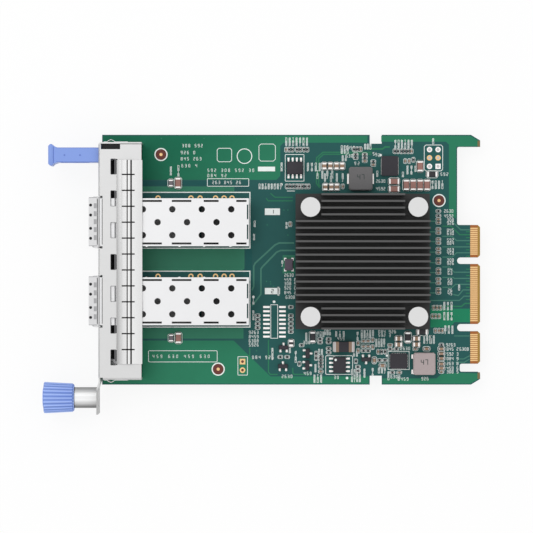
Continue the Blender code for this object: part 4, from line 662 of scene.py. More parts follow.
# Numbers in steps: x of the first digit, y of each row, places in a row, and the step along x and y.
# Digits stand upright in steps along x and are turned in steps along y.
MARK_ROWS = (
    (24.6, (34.7,), 8, 0.95, 0.0),
    (24.2, (32.6,), 5, 0.95, 0.0),
    (24.2, (30.7,), 7, 0.95, 0.0),
    (24.4, (28.6,), 5, 1.05, 0.0),
    (32.3, (27.2,), 14, 1.05, 0.0),
    (32.3, (25.6,), 6, 1.05, 0.0),
    (33.8, (23.5,), 10, 0.9, 0.0),
    (15.6, (-29.4,), 16, 1.2, 0.0),
    (54.6, (27.3,), 3, 0.0, 0.9),
    (44.9, (-22.1, -23.4, -24.7, -25.9), 4, 0.8, 0.0),
    (45.9, (-29.7,), 8, 1.0, 0.0),
    (55.7, (-4.7,), 4, 0.75, 0.0),
    (55.7, (-6.1, -7.3, -8.6, -10.0), 5, 0.75, 0.0),
    (56.1, (-11.4,), 4, 0.75, 0.0),
    (53.6, (-8.7,), 3, 0.0, -0.9),
    (46.4, (11.4,), 2, 0.0, -1.0),
    (46.2, (7.4,), 2, 0.0, -1.0),
    (46.0, (-12.2,), 2, 0.0, -1.0),
    (46.0, (-15.9,), 3, 0.0, -1.0),
    (56.1, (9.9,), 2, 0.0, 1.1),
    (54.8, (-0.7,), 2, 0.0, -0.9),
    (51.8, (-30.0,), 4, 0.0, 0.9),
    (57.1, (-28.0,), 4, 0.0, 0.9),
    (58.9, (-30.9,), 4, 0.0, 0.9),
    (54.9, (-35.5,), 4, 0.9, 0.0),
    (61.6, (-34.6,), 3, 0.9, 0.0),
    (61.4, (-25.2,), 4, 0.8, 0.0),
    (77.0, (29.3,), 2, 1.0, 0.0),
    (74.2, (34.1,), 4, 0.8, 0.0),
    (74.4, (31.6,), 3, 0.8, 0.0),
    (82.6, (32.2,), 3, 0.8, -0.2),
    (83.7, (26.6,), 2, 0.0, -0.9),
    (83.6, (23.9, 21.6), 4, 0.75, 0.0),
    (91.5, (25.5,), 2, 0.0, 0.8),
    (92.9, (26.4,), 3, 0.0, 0.9),
    (94.1, (26.4,), 3, 0.0, 0.9),
    (95.3, (27.2,), 2, 0.0, 0.9),
    (103.2, (26.0,), 3, 0.9, 0.0),
    (100.7, (35.6,), 2, 0.0, 0.9),
    (104.3, (14.8, 13.3), 4, 0.75, 0.0),
    (105.2, (12.1, 11.1, 9.0, 8.0, 6.0, 5.0, 3.0, 2.0, -0.1, -1.1), 3, 0.75, 0.0),
    (105.4, (-3.1, -4.1, -6.2, -7.2, -9.3, -10.3), 2, 0.8, 0.0),
    (108.6, (-8.0,), 2, 0.0, -0.9),
    (104.9, (-25.9,), 4, 0.75, 0.0),
    (105.1, (-27.2,), 5, 0.75, 0.0),
    (109.0, (-27.2,), 4, 0.75, 0.0),
    (105.1, (-28.7, -30.1, -31.6, -33.0, -34.1), 5, 0.75, 0.0),
    (97.4, (-36.2,), 3, 0.8, 0.0),
    (90.2, (-36.3,), 4, 0.9, 0.0),
    (88.0, (-35.6,), 4, 0.8, 0.0),
    (84.3, (-23.0,), 5, 0.8, 0.0),
    (84.3, (-21.9,), 8, 0.8, 0.0),
    (91.0, (-27.0,), 4, 0.8, 0.0),
    (71.8, (-24.0,), 3, 0.8, 0.0),
    (70.8, (-35.8,), 2, 0.9, 0.0),
    (79.8, (-33.6,), 3, 0.0, -0.9),
    (82.3, (-33.4,), 3, 0.0, -0.9),
    (87.1, (-34.4,), 3, 0.0, -0.9),
    (20.9, (27.9,), 3, 0.0, -0.9),
    (23.2, (28.3,), 4, 0.0, -0.85),
)
# Columns of turned numbers: first column's middle, number of columns, their step, and digits in each
MARK_COLUMNS = (
    (65.5, 25.9, 4, 1.5, 3), (67.8, 25.0, 4, 1.8, 3), (80.0, 34.4, 3, 0.8, 2), (100.5, 22.8, 4, 1.0, 3),
    (104.1, -14.1, 3, 1.1, 3), (104.1, -17.2, 3, 1.1, 3), (104.4, -21.3, 3, 1.08, 3),
    (98.0, -24.3, 3, 0.9, 3), (100.0, -24.3, 2, 0.9, 3), (83.4, -25.3, 4, 0.8, 3),
    (79.0, -22.7, 5, 0.85, 3), (77.7, -23.2, 1, 0.9, 3),
    (71.2, -22.6, 3, 1.15, 2), (67.9, -22.1, 3, 0.7, 2), (76.0, -34.6, 4, 0.8, 3), (76.0, -36.4, 4, 0.8, 2),
    (84.2, -33.3, 3, 0.9, 3), (64.6, -36.2, 3, 1.0, 3), (56.0, 35.9, 7, 1.05, 3), (89.2, 35.2, 6, 1.0, 3),
    (62.6, 28.2, 4, 1.2, 3), (47.9, 22.3, 8, 0.92, 2), (65.6, -22.7, 3, 0.85, 2), (62.1, -23.5, 1, 0.9, 3),
    (66.0, -28.0, 2, 0.85, 2), (64.9, -33.0, 1, 0.9, 3), (72.9, 33.5, 3, 0.9, 3), (76.6, -28.6, 2, 0.9, 2),
    (73.2, 30.9, 2, 0.9, 2),
)
DIGIT_LINE = 0.12
DIGIT_SIZE = (0.4, 0.86)
COLUMN_DIGIT = (0.42, 0.8)
COLUMN_PITCH = 0.82
# Digits that each fill their place about as much as the real marks do
PRINTED_DIGITS = (8, 0, 3, 6, 2, 9, 5, 4)
SEGMENTS = {
    "a": ((0.0, 1.0), (1.0, 1.0)),
    "b": ((1.0, 1.0), (1.0, 0.5)),
    "c": ((1.0, 0.5), (1.0, 0.0)),
    "d": ((0.0, 0.0), (1.0, 0.0)),
    "e": ((0.0, 0.0), (0.0, 0.5)),
    "f": ((0.0, 0.5), (0.0, 1.0)),
    "g": ((0.0, 0.5), (1.0, 0.5)),
}
DIGITS = ("abcdef", "bc", "abged", "abgcd", "fgbc", "afgcd", "afgedc", "abc", "abcdefg", "abcdfg")


def add_digit(shape, digit, centre, size, line, level, finish_name, upright=True):
    """A plain digit built from straight strokes, or the same turned a quarter to the left."""
    for letter in DIGITS[digit]:
        ends = []
        for along, up in SEGMENTS[letter]:
            across, rise = (along - 0.5) * size[0], (up - 0.5) * size[1]
            if not upright:
                # A turned digit keeps its width along y, so the two lengths change places
                across, rise = -(up - 0.5) * size[0], (along - 0.5) * size[1]
            ends.append((centre[0] + across, centre[1] + rise))
        shape.line(ends, line, level[0], level[1], finish_name)


def add_print(shape, number, centre, upright):
    """One digit of the small print, chosen by a running number."""
    digit = PRINTED_DIGITS[number % len(PRINTED_DIGITS)]
    size = DIGIT_SIZE if upright else COLUMN_DIGIT
    add_digit(shape, digit, centre, size, DIGIT_LINE, (0.0, SILK), "silk", upright)


def add_marks(shape):
    """The small print. A row of more than four places has a gap at every fourth."""
    rows = [(x, y, *rest) for x, all_y, *rest in MARK_ROWS for y in all_y]
    for row, (x, y, count, step_x, step_y) in enumerate(rows):
        for index in range(count):
            if count <= 4 or index % 4 != 3:
                centre = (x + index * step_x, y + index * step_y)
                add_print(shape, 3 * row + 7 * index + 2, centre, abs(step_x) > abs(step_y))
    for row, (x, y, count, step, places) in enumerate(MARK_COLUMNS):
        for index in range(count):
            for place in range(places):
                centre = (x + index * step, y + (place - (places - 1) / 2) * COLUMN_PITCH)
                add_print(shape, 5 * row + 3 * index + 7 * place + 1, centre, False)


def add_chip_outlines(shape):
    """Printed rings around the chip parts."""
    groups = list(CHIP_GROUPS)
    groups += [(kind, turn, ((x, y),)) for _, kind, turn, x, y in large_chips()]
    for kind, turn, places in groups:
        length, width, *_, margin = CHIPS[kind]
        half = (length / 2 + margin, width / 2 + margin)
        half_x, half_y = reversed(half) if turn else half
        side = 2 * min(half)
        line = 0.11 if side < 1.3 else 0.15
        for x, y in places:
            outline = rectangle(x - half_x, y - half_y, x + half_x, y + half_y, 0.24 * side)
            shape.loop(outline, line, 0.0, SILK, "silk")


def make_silkscreen():
    """Outlines, plain marks and dots printed on the board."""
    shape = Shape(["silk", "label_ink"])
    start, end = CAGE_FRAME_X
    for low_y, high_y in CAGE_FRAMES:
        line = [(start, high_y), (end, high_y), (end, low_y), (start, low_y)]
        shape.line(line, CAGE_FRAME_LINE, 0.0, SILK, "silk")
    for limits in SILK_RECTANGLES:
        shape.loop(rectangle(*limits), SILK_LINE, 0.0, SILK, "silk")
    for low_x, low_y, high_x, high_y, digit in SILK_BARS:
        shape.box((low_x, low_y, 0.0), (high_x, high_y, SILK), "silk")
        if digit:
            middle = ((low_x + high_x) / 2, (low_y + high_y) / 2)
            add_digit(shape, digit, middle, BAR_DIGIT, BAR_DIGIT_LINE, (SILK, SILK + 0.01), "label_ink")
    add_marks(shape)
    add_chip_outlines(shape)
    for x, y, radius in SILK_DOTS:
        shape.disc((x, y), radius, 0.0, SILK, "silk", 16)
    for centre in FIDUCIALS:
        shape.ring(centre, *FIDUCIAL_RING, 0.0, SILK, "silk", 40)
    shape.ring(ROUND_SIGN, *ROUND_SIGN_RING, 0.0, SILK, "silk", 40)
    shape.line(SHORT_LINE, SILK_LINE, 0.0, SILK, "silk")
    shape.build("silkscreen", slot="silkscreen")


# Bare footprints and test places

HEADER_PADS = [(x, y) for x in (99.6, 102.2) for y in (33.5, 31.0, 28.4)]
FIRST_HEADER_PAD = (102.2, 28.4)
GOLD_HEADER_Y = 31.0
HEADER_PAD = 0.82
HEADER_HOLE = 0.45
SQUARE_PAD = (1.6, 1.6)
JUMPER_PADS = ((42.7, -31.0), (42.7, -33.6))
JUMPER_SQUARE = (1.7, 1.7)
JUMPER_ROUND = 0.85
JUMPER_HOLE = 0.42
EMPTY_PACKAGE_X = (50.0, 54.85)
EMPTY_PACKAGE_Y = [-14.4 - index * 9.0 / 7 for index in range(8)]
EMPTY_PACKAGE_PAD = (2.0, 0.62)
CAGE_HOLE_X = (17.0, 27.0, 29.8, 34.5, 37.1, 39.5)
CAGE_HOLE_Y = (18.75, -5.05)
CAGE_HOLE_RING = (0.82, 0.42)
VIA_RADIUS = 0.2
VIAS = (
    (50.2, 10.6), (55.3, 15.1), (56.5, 15.1), (56.5, 7.5), (50.0, -6.6), (51.3, -7.4), (52.1, -8.1),
    (51.2, -6.7), *in_row(-17.0, 105.8, 107.1, 108.4), *in_row(-18.1, 105.8, 107.1), (47.0, -27.7),
    (51.3, -27.0), *in_row(36.9, 68.0, 61.0, 47.0, 31.0, 18.0, 90.0, 96.0),
)
# Bare ends of the two prongs: middle and width
PRONG_TIPS = ((35.3, 1.8), (-35.25, 2.0))
PRONG_TIP_X = 114.58
PRONG_TIP_LENGTH = 0.74


def make_bare_pads():
    """Pads without a part: two headers, a sixteen-lead footprint, fiducials, vias and the prong tips."""
    shape = Shape(["gold", "tin", "copper_brown", "solder", "mask_mid", "bare_edge"])
    for x, y in HEADER_PADS:
        if (x, y) == FIRST_HEADER_PAD:
            shape.plate((x, y), SQUARE_PAD, 0.0, PAD, "tin")
        else:
            shape.disc((x, y), HEADER_PAD, 0.0, PAD, "gold" if y == GOLD_HEADER_Y else "tin", 24)
        shape.disc((x, y), HEADER_HOLE, PAD, PAD + 0.03, "solder", 16)
    shape.plate(JUMPER_PADS[0], JUMPER_SQUARE, 0.0, PAD, "gold")
    shape.disc(JUMPER_PADS[1], JUMPER_ROUND, 0.0, PAD, "gold", 24)
    for centre in JUMPER_PADS:
        shape.disc(centre, JUMPER_HOLE, PAD, PAD + 0.02, "copper_brown", 16)
    for y in EMPTY_PACKAGE_Y:
        for x in EMPTY_PACKAGE_X:
            shape.plate((x, y), EMPTY_PACKAGE_PAD, 0.0, PAD + 0.02, "tin")
    for centre in FIDUCIALS:
        shape.disc(centre, FIDUCIAL_WELL, 0.0, PAD - 0.01, "copper_brown", 32)
        shape.disc(centre, FIDUCIAL_DOT, 0.0, PAD, "gold", 16)
    for x in CAGE_HOLE_X:
        for y in CAGE_HOLE_Y:
            shape.ring((x, y), *CAGE_HOLE_RING, 0.0, PAD, "gold", 20)
    for centre in VIAS:
        shape.disc(centre, VIA_RADIUS, 0.0, PAD - 0.008, "mask_mid", 10)
    for y, width in PRONG_TIPS:
        shape.plate((PRONG_TIP_X, y), (PRONG_TIP_LENGTH, width), 0.0, PAD, "bare_edge")
    shape.build("bare_pads", slot="solder_and_tin")


# Chip resistors and capacitors: length, width, height, end cap, body and the gap to the printed ring

CHIPS = {
    "resistor_0402": (1.0, 0.5, 0.34, 0.26, "resistor", 0.26),
    "capacitor_0402": (1.0, 0.5, 0.46, 0.27, "ceramic_tan", 0.26),
    "capacitor_0603": (1.6, 0.8, 0.75, 0.36, "ceramic_tan", 0.3),
    "capacitor_0805": (2.06, 1.3, 0.93, 0.62, "ceramic_tan", 0.24),
    "resistor_0805": (2.06, 1.3, 0.93, 0.45, "ceramic_grey", 0.3),
    "capacitor_1206": (3.12, 1.62, 1.14, 0.55, "ceramic_brown", 0.3),
    "resistor_1206": (3.12, 1.62, 0.64, 0.62, "resistor", 0.3),
    "bead_0805": (2.06, 1.3, 0.93, 0.74, "resistor", 0.25),
    "tall_resistor_1206": (3.2, 1.5, 0.94, 0.6, "resistor", 0.3),
}
LINK_COLUMN = (12.3, 11.3, 9.3, 8.2, 6.2, 5.1, 3.3, 2.2, 0.1, -0.9, -3.0, -4.0, -5.9, -7.1, -9.0, -10.0)
# Small chip parts: kind, turn in degrees and places
CHIP_GROUPS = (
    ("capacitor_0402", 90, ((56.0, 33.5), (78.6, 33.6), (94.1, 33.0))),
    ("resistor_0402", 90, in_row(33.5, 56.9, 57.9, 59.3, 60.3, 61.4, 62.4)),
    ("resistor_0402", 90, in_row(22.3, 56.2, 57.2, 58.2, 59.2, 60.0, 60.9, 61.9, 62.8)),
    ("resistor_0402", 90, in_row(33.6, 76.6, 77.6) + in_row(33.0, 89.0, 90.0, 91.1, 92.1, 93.1)),
    ("capacitor_0402", 90, ((92.2, 30.0), (93.4, 30.0), (57.2, 10.8), (73.2, 22.3))),
    ("resistor_0402", 90, ((94.7, 30.4),)),
    ("resistor_0402", 0, ((77.1, 32.0), (77.1, 31.0), (79.9, 32.0), (79.9, 31.0), (82.5, 29.9))),
    ("capacitor_0402", 0, ((79.9, 30.0), (82.5, 28.9))),
    ("resistor_0402", 0, in_column(102.3, 14.8, 13.4)),
    ("capacitor_0402", 0, in_column(102.3, *LINK_COLUMN)),
    ("resistor_0402", 0, in_column(47.3, -17.0, -18.2, -19.5, -20.7)),
    ("resistor_0402", 0, in_column(57.4, -14.4, -17.0, -18.2, -19.5, -20.8, -21.9)),
    ("capacitor_0402", 90, in_row(-14.6, 100.9, 101.9, 102.9)),
    ("capacitor_0402", 90, in_row(-17.2, 100.5, 101.5, 102.5)),
    ("capacitor_0402", 90, in_row(-21.6, 101.4, 102.5, 103.5)),
    ("capacitor_0603", 0, in_column(103.2, -27.1, -28.6, -30.0, -31.7, -33.0)),
    ("resistor_0402", 0, ((103.2, -25.9),)),
    ("capacitor_0402", 0, ((103.2, -34.1), (95.3, -27.2), (87.6, -26.0), (90.4, -34.3))),
    ("capacitor_0603", 0, ((98.7, -27.1), (85.3, -32.2))),
    ("resistor_0402", 0, in_row(-27.2, 87.6, 89.5) + ((88.3, -34.3),)),
    ("resistor_0402", 0, in_row(-29.6, 54.2, 56.3) + ((60.7, -26.0),)),
    ("resistor_0402", 90, ((60.0, -31.7), (77.2, -30.9), (85.0, -28.0), (86.1, -28.0))),
    ("resistor_0402", 0, in_column(66.3, -24.2, -25.1) + in_column(68.9, -24.1, -25.1, -27.0, -28.2)),
    ("resistor_0402", 0, in_column(66.5, -29.5, -30.5, -31.5, -32.5)),
    ("capacitor_0402", 0, ((66.5, -34.0),)),
    ("resistor_0402", 90, in_column(65.1, -28.6, -29.9)),
    ("capacitor_0402", 0, in_row(-24.8, 79.5, 80.9) + in_row(-26.4, 79.5, 80.9)),
    ("resistor_0402", 0, in_row(-27.7, 79.5, 80.9) + in_column(77.8, -32.6, -33.8)),
    ("resistor_0402", 0, in_row(-30.6, 84.4, 86.0)),
    ("capacitor_0402", 90, ((77.9, -25.4), (82.3, -24.4), (82.3, -26.6), (77.9, -27.7), (84.0, -28.0))),
    ("capacitor_0603", 90, ((82.8, -30.6),)),
    ("capacitor_0805", 90, in_row(28.5, 67.6, 69.4, 71.3, 73.0) + in_row(22.1, 67.9, 69.7, 71.4)),
    ("capacitor_0805", 0, in_column(90.2, -24.0, -25.8) + in_column(95.6, -24.0, -25.8)),
    ("capacitor_1206", 90, ((23.1, 23.3), (23.2, -23.8))),
    ("resistor_0805", 90, ((20.9, 23.3), (21.0, -23.8))),
    ("tall_resistor_1206", 90, ((64.05, -23.5),)),
    ("bead_0805", 90, ((57.5, -25.4),)),
)
# Large chip parts, each in place of a CAD node: turn and place
LARGE_CHIPS = {
    "capacitor": ((90, 92.5, 22.7), (90, 94.6, 22.7), (90, 96.7, 22.7), (90, 98.8, 22.7), (90, 96.7, 28.4),
                  (0, 88.8, 23.8), (0, 88.8, 21.5)),
    "resistor": ((0, 100.4, 26.0), (0, 97.4, -22.0), (90, 93.0, -23.6)),
}
PART_LIFT = 0.04
BODY_INSET = 0.012
FILLET_REACH = 0.35


def large_chips():
    """CAD node, kind, turn and place of each large chip part."""
    for name, places in LARGE_CHIPS.items():
        for number, place in enumerate(places, 1):
            yield f"{name}_{number}", f"{name}_1206", *place


def add_fillet(shape, side, length, width, height):
    """Solder that climbs one end of a chip part."""
    near = side * (length / 2 - 0.01)
    far = side * (length / 2 + min(FILLET_REACH, FILLET_REACH * width))
    half = width / 2 * 0.96
    sections = []
    for near_z, far_z in ((0.0, 0.0), (height * 0.55, 0.05)):
        lower = [(near, -half, near_z), (far, -half * 0.9, far_z)]
        upper = [(x, -y, z) for x, y, z in reversed(lower)]
        sections.append((lower + upper)[::side])
    shape.stack(sections, "solder")


def chip_template(kind):
    """One chip part at the origin: ceramic body, plated ends and solder fillets."""
    length, width, height, cap, body, _ = CHIPS[kind]
    plating = "tin" if length > 2 else "tin_dull"
    edge = min(0.08, 0.12 * width)
    shape = Shape([body, plating, "solder"])
    half_y = width / 2 - BODY_INSET
    shape.stack(rounded_sections(length / 2 - cap * 0.6, half_y, 0.0, height - BODY_INSET, edge * 0.6), body)
    for side in (-1, 1):
        middle = side * (length / 2 - cap / 2)
        shape.stack(rounded_sections(cap / 2, width / 2, 0.0, height, edge, middle), plating)
        add_fillet(shape, side, length, width, height)
    return shape


def make_chip_parts():
    """All the small chip parts as one piece, and the larger ones as a piece each."""
    shape = Shape(["tin", "tin_dull", "solder", "resistor", "ceramic_tan", "ceramic_brown", "ceramic_grey"])
    templates = {}
    for kind, turn, places in CHIP_GROUPS:
        if kind not in templates:
            templates[kind] = chip_template(kind)
        for x, y in places:
            shape.stamp(templates[kind], placed(x, y, turn))
    shape.build("chip_parts", slot="ceramic_part", smooth_angle=30)
    for node, kind, turn, x, y in large_chips():
        part = Shape(["tin", "solder", CHIPS[kind][4]])
        part.stamp(chip_template(kind), placed(x, y, turn, PART_LIFT))
        slot = "ceramic_part" if kind.startswith("capacitor") else "chip_package"
        part.build(node + "_detailed", slot=slot, replaces=(node,), smooth_angle=30)


# Fuse

FUSE_PLACE = (73.5, -26.5)
FUSE_SIZE = (5.82, 3.12, 1.94)
FUSE_END = 0.5
FUSE_BAND = 0.92


def make_fuse():
    """A block fuse: plated ends, a brown band inside each and a dark middle."""
    shape = Shape(["epoxy", "fuse_band", "solder"], ON_BOARD @ placed(*FUSE_PLACE, 0, PART_LIFT))
    half_x, half_y, height = FUSE_SIZE[0] / 2, FUSE_SIZE[1] / 2, FUSE_SIZE[2]
    inner = half_x - FUSE_END - FUSE_BAND
    shape.stack(rounded_sections(inner, half_y, 0.0, height, 0.05), "epoxy")
    bands = ((inner, FUSE_BAND, "fuse_band"), (inner + FUSE_BAND, FUSE_END, "solder"))
    for side in (-1, 1):
        for start, width, finish_name in bands:
            middle = side * (start + width / 2)
            sections = rounded_sections(width / 2, half_y + 0.01, 0.0, height + 0.01, 0.04, middle)
            shape.stack(sections, finish_name)
        shape.plate((side * (half_x + 0.2), 0.0), (0.4, 2 * half_y * 0.94), 0.0, 0.12, "solder")
    shape.build("fuse_detailed", slot="chip_package", replaces=("fuse",), smooth_angle=30)


# Moulded packages

PACKAGE_LIFT = 0.05
PACKAGE_DRAFT = 0.1
LEAD_SHEET = 0.18
BODY_RISE = 0.08
PAD_SHEET = 0.03
PIN_ONE_DOT = 0.36
DROP_HEIGHT = 0.42
EIGHT_LEAD_ROW = [(index - 1.5) * 1.27 for index in range(4)]
# Packages with bent leads: body size, leads on each side, lead width and reach, pad length and solder drop
EIGHT_LEADS = ((4.9, 3.9, 1.4), (EIGHT_LEAD_ROW, EIGHT_LEAD_ROW), 0.42, 1.05, 0.9, 0.0)
THREE_LEADS = ((2.9, 1.3, 1.0), ((0.0,), (-0.95, 0.95)), 0.42, 0.55, 0.8, 0.46)
TRANSISTORS = ((55.2, -26.7, 0), (55.0, -32.4, 0), (62.5, -28.5, -90), (62.4, -32.1, -90), (80.3, -30.3, 180))
# Flat packages: the share of a side that its pads take up, and the width, depth and height of a pad
PAD_SPREAD = 0.86
FLAT_PAD = (0.26, 0.36)
FLAT_PAD_TOP = 0.16
OSCILLATOR_PLACE = (56.8, -1.5)
OSCILLATOR_HALF = (1.25, 1.75)


def package_body(shape, half_x, half_y, low, high):
    """A moulded body that narrows above and below its parting line."""
    middle = low + (high - low) * 0.45
    levels = (
        (low, PACKAGE_DRAFT),
        (middle - 0.06, 0.0),
        (middle + 0.06, 0.0),
        (high - 0.04, PACKAGE_DRAFT),
        (high, PACKAGE_DRAFT + 0.05),
    )
    shape.stack(block_sections(half_x, half_y, 0.08, levels), "epoxy")


def add_gull_lead(shape, offset, side, body_half, height, reach, width):
    """A bent lead: out of the body, down and flat on its pad."""
    profile = (
        (body_half - 0.15, height * 0.45),
        (body_half + reach * 0.28, height * 0.45),
        (body_half + reach * 0.5, LEAD_SHEET * 0.6),
        (body_half + reach, LEAD_SHEET * 0.5),
    )
    left, right = offset_line(profile, LEAD_SHEET / 2)
    sections = []
    for x in (offset - width / 2, offset + width / 2):
        sections.append([(x, side * y, max(0.0, z)) for y, z in right + left[::-1]])
    shape.stack(sections, "tin")


def add_drop(shape, centre, radius, height):
    """A drop of solder: a low dome."""
    sections = []
    for share, level in ((1.0, -0.04), (0.94, 0.4), (0.72, 0.78), (0.36, 1.0)):
        sections.append([(x, y, level * height) for x, y in circle(centre, radius * share, 12)])
    shape.stack(sections, "tin")


def make_gull_wing(node, place, package, dot=None):
    """A package with bent leads on tinned pads, in place of its CAD block."""
    (length, depth, height), rows, width, reach, pad, drop = package
    shape = Shape(["epoxy", "tin", "silk"], ON_BOARD @ placed(*place, PACKAGE_LIFT))
    package_body(shape, length / 2, depth / 2, BODY_RISE, height)
    if dot:
        shape.disc(dot, PIN_ONE_DOT, height - 0.02, height + 0.02, "silk", 16)
    for side, offsets in zip((1, -1), rows):
        for offset in offsets:
            add_gull_lead(shape, offset, side, depth / 2, height, reach, width)
            centre = (offset, side * (depth / 2 + reach * 0.72))
            shape.plate(centre, (width + 0.2, pad), -PAD_SHEET, 0.0, "tin")
            if drop:
                add_drop(shape, (offset, side * (depth / 2 + reach * 0.9)), drop, DROP_HEIGHT)
    shape.build(node + "_detailed", slot="chip_package", replaces=(node,), smooth_angle=32)


def make_flat_package(node, x, y, half_x, half_y, height, pads_x, pads_y):
    """A flat package without leads: pads show at its edges as a row of tinned ends."""
    shape = Shape(["epoxy", "solder"])
    levels = ((0.05, 0.0), (height - 0.05, 0.0), (height, 0.05))
    shape.stack(block_sections(half_x, half_y, 0.06, levels, (x, y)), "epoxy")
    for index in range(pads_x):
        offset = (index - (pads_x - 1) / 2) * (2 * half_x * PAD_SPREAD / pads_x)
        for side in (-1, 1):
            shape.plate((x + offset, y + side * half_y), FLAT_PAD, 0.0, FLAT_PAD_TOP, "solder")
    for index in range(pads_y):
        offset = (index - (pads_y - 1) / 2) * (2 * half_y * PAD_SPREAD / pads_y)
        for side in (-1, 1):
            shape.plate((x + side * half_x, y + offset), FLAT_PAD[::-1], 0.0, FLAT_PAD_TOP, "solder")
    shape.build(node + "_detailed", slot="chip_package", replaces=(node,))


def make_oscillator():
    """A small lidded block with a terminal at each corner."""
    matrix = ON_BOARD @ placed(*OSCILLATOR_PLACE, 0, PACKAGE_LIFT)
    shape = Shape(["oscillator_lid", "tin", "ceramic_grey"], matrix)
    half_x, half_y = OSCILLATOR_HALF
    shape.stack(rounded_sections(half_x, half_y, 0.1, 0.8, 0.06), "ceramic_grey")
    shape.stack(rounded_sections(half_x - 0.14, half_y - 0.14, 0.7, 1.0, 0.1), "oscillator_lid")
    for side_x in (-1, 1):
        for side_y in (-1, 1):
            shape.plate((side_x * (half_x - 0.15), side_y * (half_y - 0.1)), (0.7, 0.8), 0.0, 0.42, "tin")
    shape.build("oscillator_detailed", slot="oscillator_can", replaces=("oscillator",), smooth_angle=30)


def make_packages():
    make_gull_wing("power_switch_1", (58.6, 27.9, 0), EIGHT_LEADS)
    make_gull_wing("power_switch_2", (72.2, -32.0, 90), EIGHT_LEADS, dot=(1.55, 1.2))
    for number, place in enumerate(TRANSISTORS, 1):
        make_gull_wing(f"transistor_{number}", place, THREE_LEADS)
    make_flat_package("regulator_1", 87.5, 28.5, 2.5, 3.0, 0.95, 0, 14)
    make_flat_package("regulator_2", 90.2, -30.8, 2.6, 2.3, 0.95, 8, 8)


# Inductors: place, size, finish, and each terminal's side, offset and width

INDUCTORS = (
    (78.6, 24.6, (7.2, 7.1, 3.04), "ferrite", ((-1, 0.0, 3.1), (1, 0.0, 3.1))),
    (97.9, -31.6, (6.7, 6.7, 3.04), "ferrite_mauve", ((-1, 2.1, 1.3), (-1, -2.5, 1.3))),
)
INDUCTOR_NUMBER = (4, 7)
INDUCTOR_DIGIT = (0.75, 1.5)
INDUCTOR_DIGIT_STEP = 1.25
INDUCTOR_DIGIT_LINE = 0.22
INDUCTOR_DIGIT_RISE = 0.5
INDUCTOR_CORNER = 0.5


def make_inductors():
    """Pressed blocks with cut corners, a flat crown, terminals and a plain number."""
    for order, (x, y, (length, width, height), finish_name, ends) in enumerate(INDUCTORS, 1):
        node = f"inductor_{order}"
        shape = Shape([finish_name, "tin", "label_ink"])
        levels = ((0.15, 0.25), (0.45, 0.0), (height - 0.25, 0.0), (height, 0.28))
        shape.stack(block_sections(length / 2, width / 2, INDUCTOR_CORNER, levels, (x, y)), finish_name)
        ink = (height, height + 0.012)
        for index, digit in enumerate(INDUCTOR_NUMBER):
            centre = (x + (index - 0.5) * INDUCTOR_DIGIT_STEP, y + INDUCTOR_DIGIT_RISE)
            add_digit(shape, digit, centre, INDUCTOR_DIGIT, INDUCTOR_DIGIT_LINE, ink, "label_ink")
        for side, offset, span in ends:
            for start, reach, top in ((0.04, 0.02, height * 0.6), (0.0, 0.45, 0.06)):
                low, high = sorted((side * (length / 2 - 0.3), side * (length / 2 + reach)))
                near = (x + low, y + offset - span / 2, start)
                shape.box(near, (x + high, y + offset + span / 2, top), "tin")
        shape.build(node + "_detailed", slot="ferrite_block", replaces=(node,))


# Springs of round wire, in place of the square ones of the CAD model

PIN_COUNT = 4
# Coils: radius and half the wire in metres, and turns
PIN_COIL = (0.0021, 0.00025, 3)
THUMB_COIL = (0.00195, 0.0002, 5.5)
COIL_SIDES = 8
COIL_STEPS = 16


def coil_rise(turn, turns, closed):
    """How far up a coil is after some turns, as a share, with its two end turns closed."""
    if turn <= 0.75:
        return closed * turn
    if turn >= turns + 0.75:
        return 1 - closed * (turns + 1.5 - turn)
    return closed * 0.75 + (1 - 1.5 * closed) * (turn - 0.75) / turns


def coil_shape(start, length, coil, along_x):
    """A tube wound round an axis, in metres: the coil has its radius, half its wire and its turns."""
    radius, wire, turns = coil
    shape = Shape(["wire"], Matrix.Identity(4))
    inner = length - 2 * wire
    sections = []
    for index in range(int((turns + 1.5) * COIL_STEPS) + 1):
        turn = index / COIL_STEPS
        share = coil_rise(turn, turns, 2.2 * wire / inner)
        angle = math.tau * turn
        section = []
        for corner in range(COIL_SIDES):
            around = math.tau * corner / COIL_SIDES
            reach = radius + wire * math.cos(around)
            rise = wire + inner * share + wire * math.sin(around)
            local = (reach * math.cos(angle), reach * math.sin(angle), rise)
            if along_x:
                local = (rise, reach * math.cos(angle), reach * math.sin(angle))
            section.append(tuple(start[axis] + local[axis] for axis in range(3)))
        sections.append(section)
    shape.stack(sections, "wire")
    return shape


def make_springs():
    for number in range(1, PIN_COUNT + 1):
        node = f"push_pin_spring_{number}"
        low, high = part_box(node)
        pin_low, pin_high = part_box(f"push_pin_{number}")
        start = ((pin_low.x + pin_high.x) / 2, (pin_low.y + pin_high.y) / 2, low.z)
        shape = coil_shape(start, high.z - low.z, PIN_COIL, False)
        shape.build(node + "_round", slot="spring_wire", replaces=(node,), smooth_angle=60)
    low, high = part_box("thumbscrew_spring")
    knob_low, knob_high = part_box("thumbscrew_knob")
    start = (low.x, (knob_low.y + knob_high.y) / 2, (knob_low.z + knob_high.z) / 2)
    length = high.x - low.x
    shape = coil_shape(start, length, THUMB_COIL, True)
    spring = shape.build(
        "thumbscrew_spring_round",
        body="thumbscrew_carriage",
        slot="spring_wire",
        replaces=("thumbscrew_spring",),
        smooth_angle=60,
    )
    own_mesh(spring)


# Painted shade under the bracket's flange: a black sheet and a black pad

SHADE_SHEET_LOW = (0.1, -34.6, 0.0)
SHADE_SHEET_HIGH = (12.2, 35.0, 0.03)
SLOT_SHADE_LOW = (0.95, 32.9, 10.25)
SLOT_SHADE_HIGH = (7.6, 35.05, 10.95)


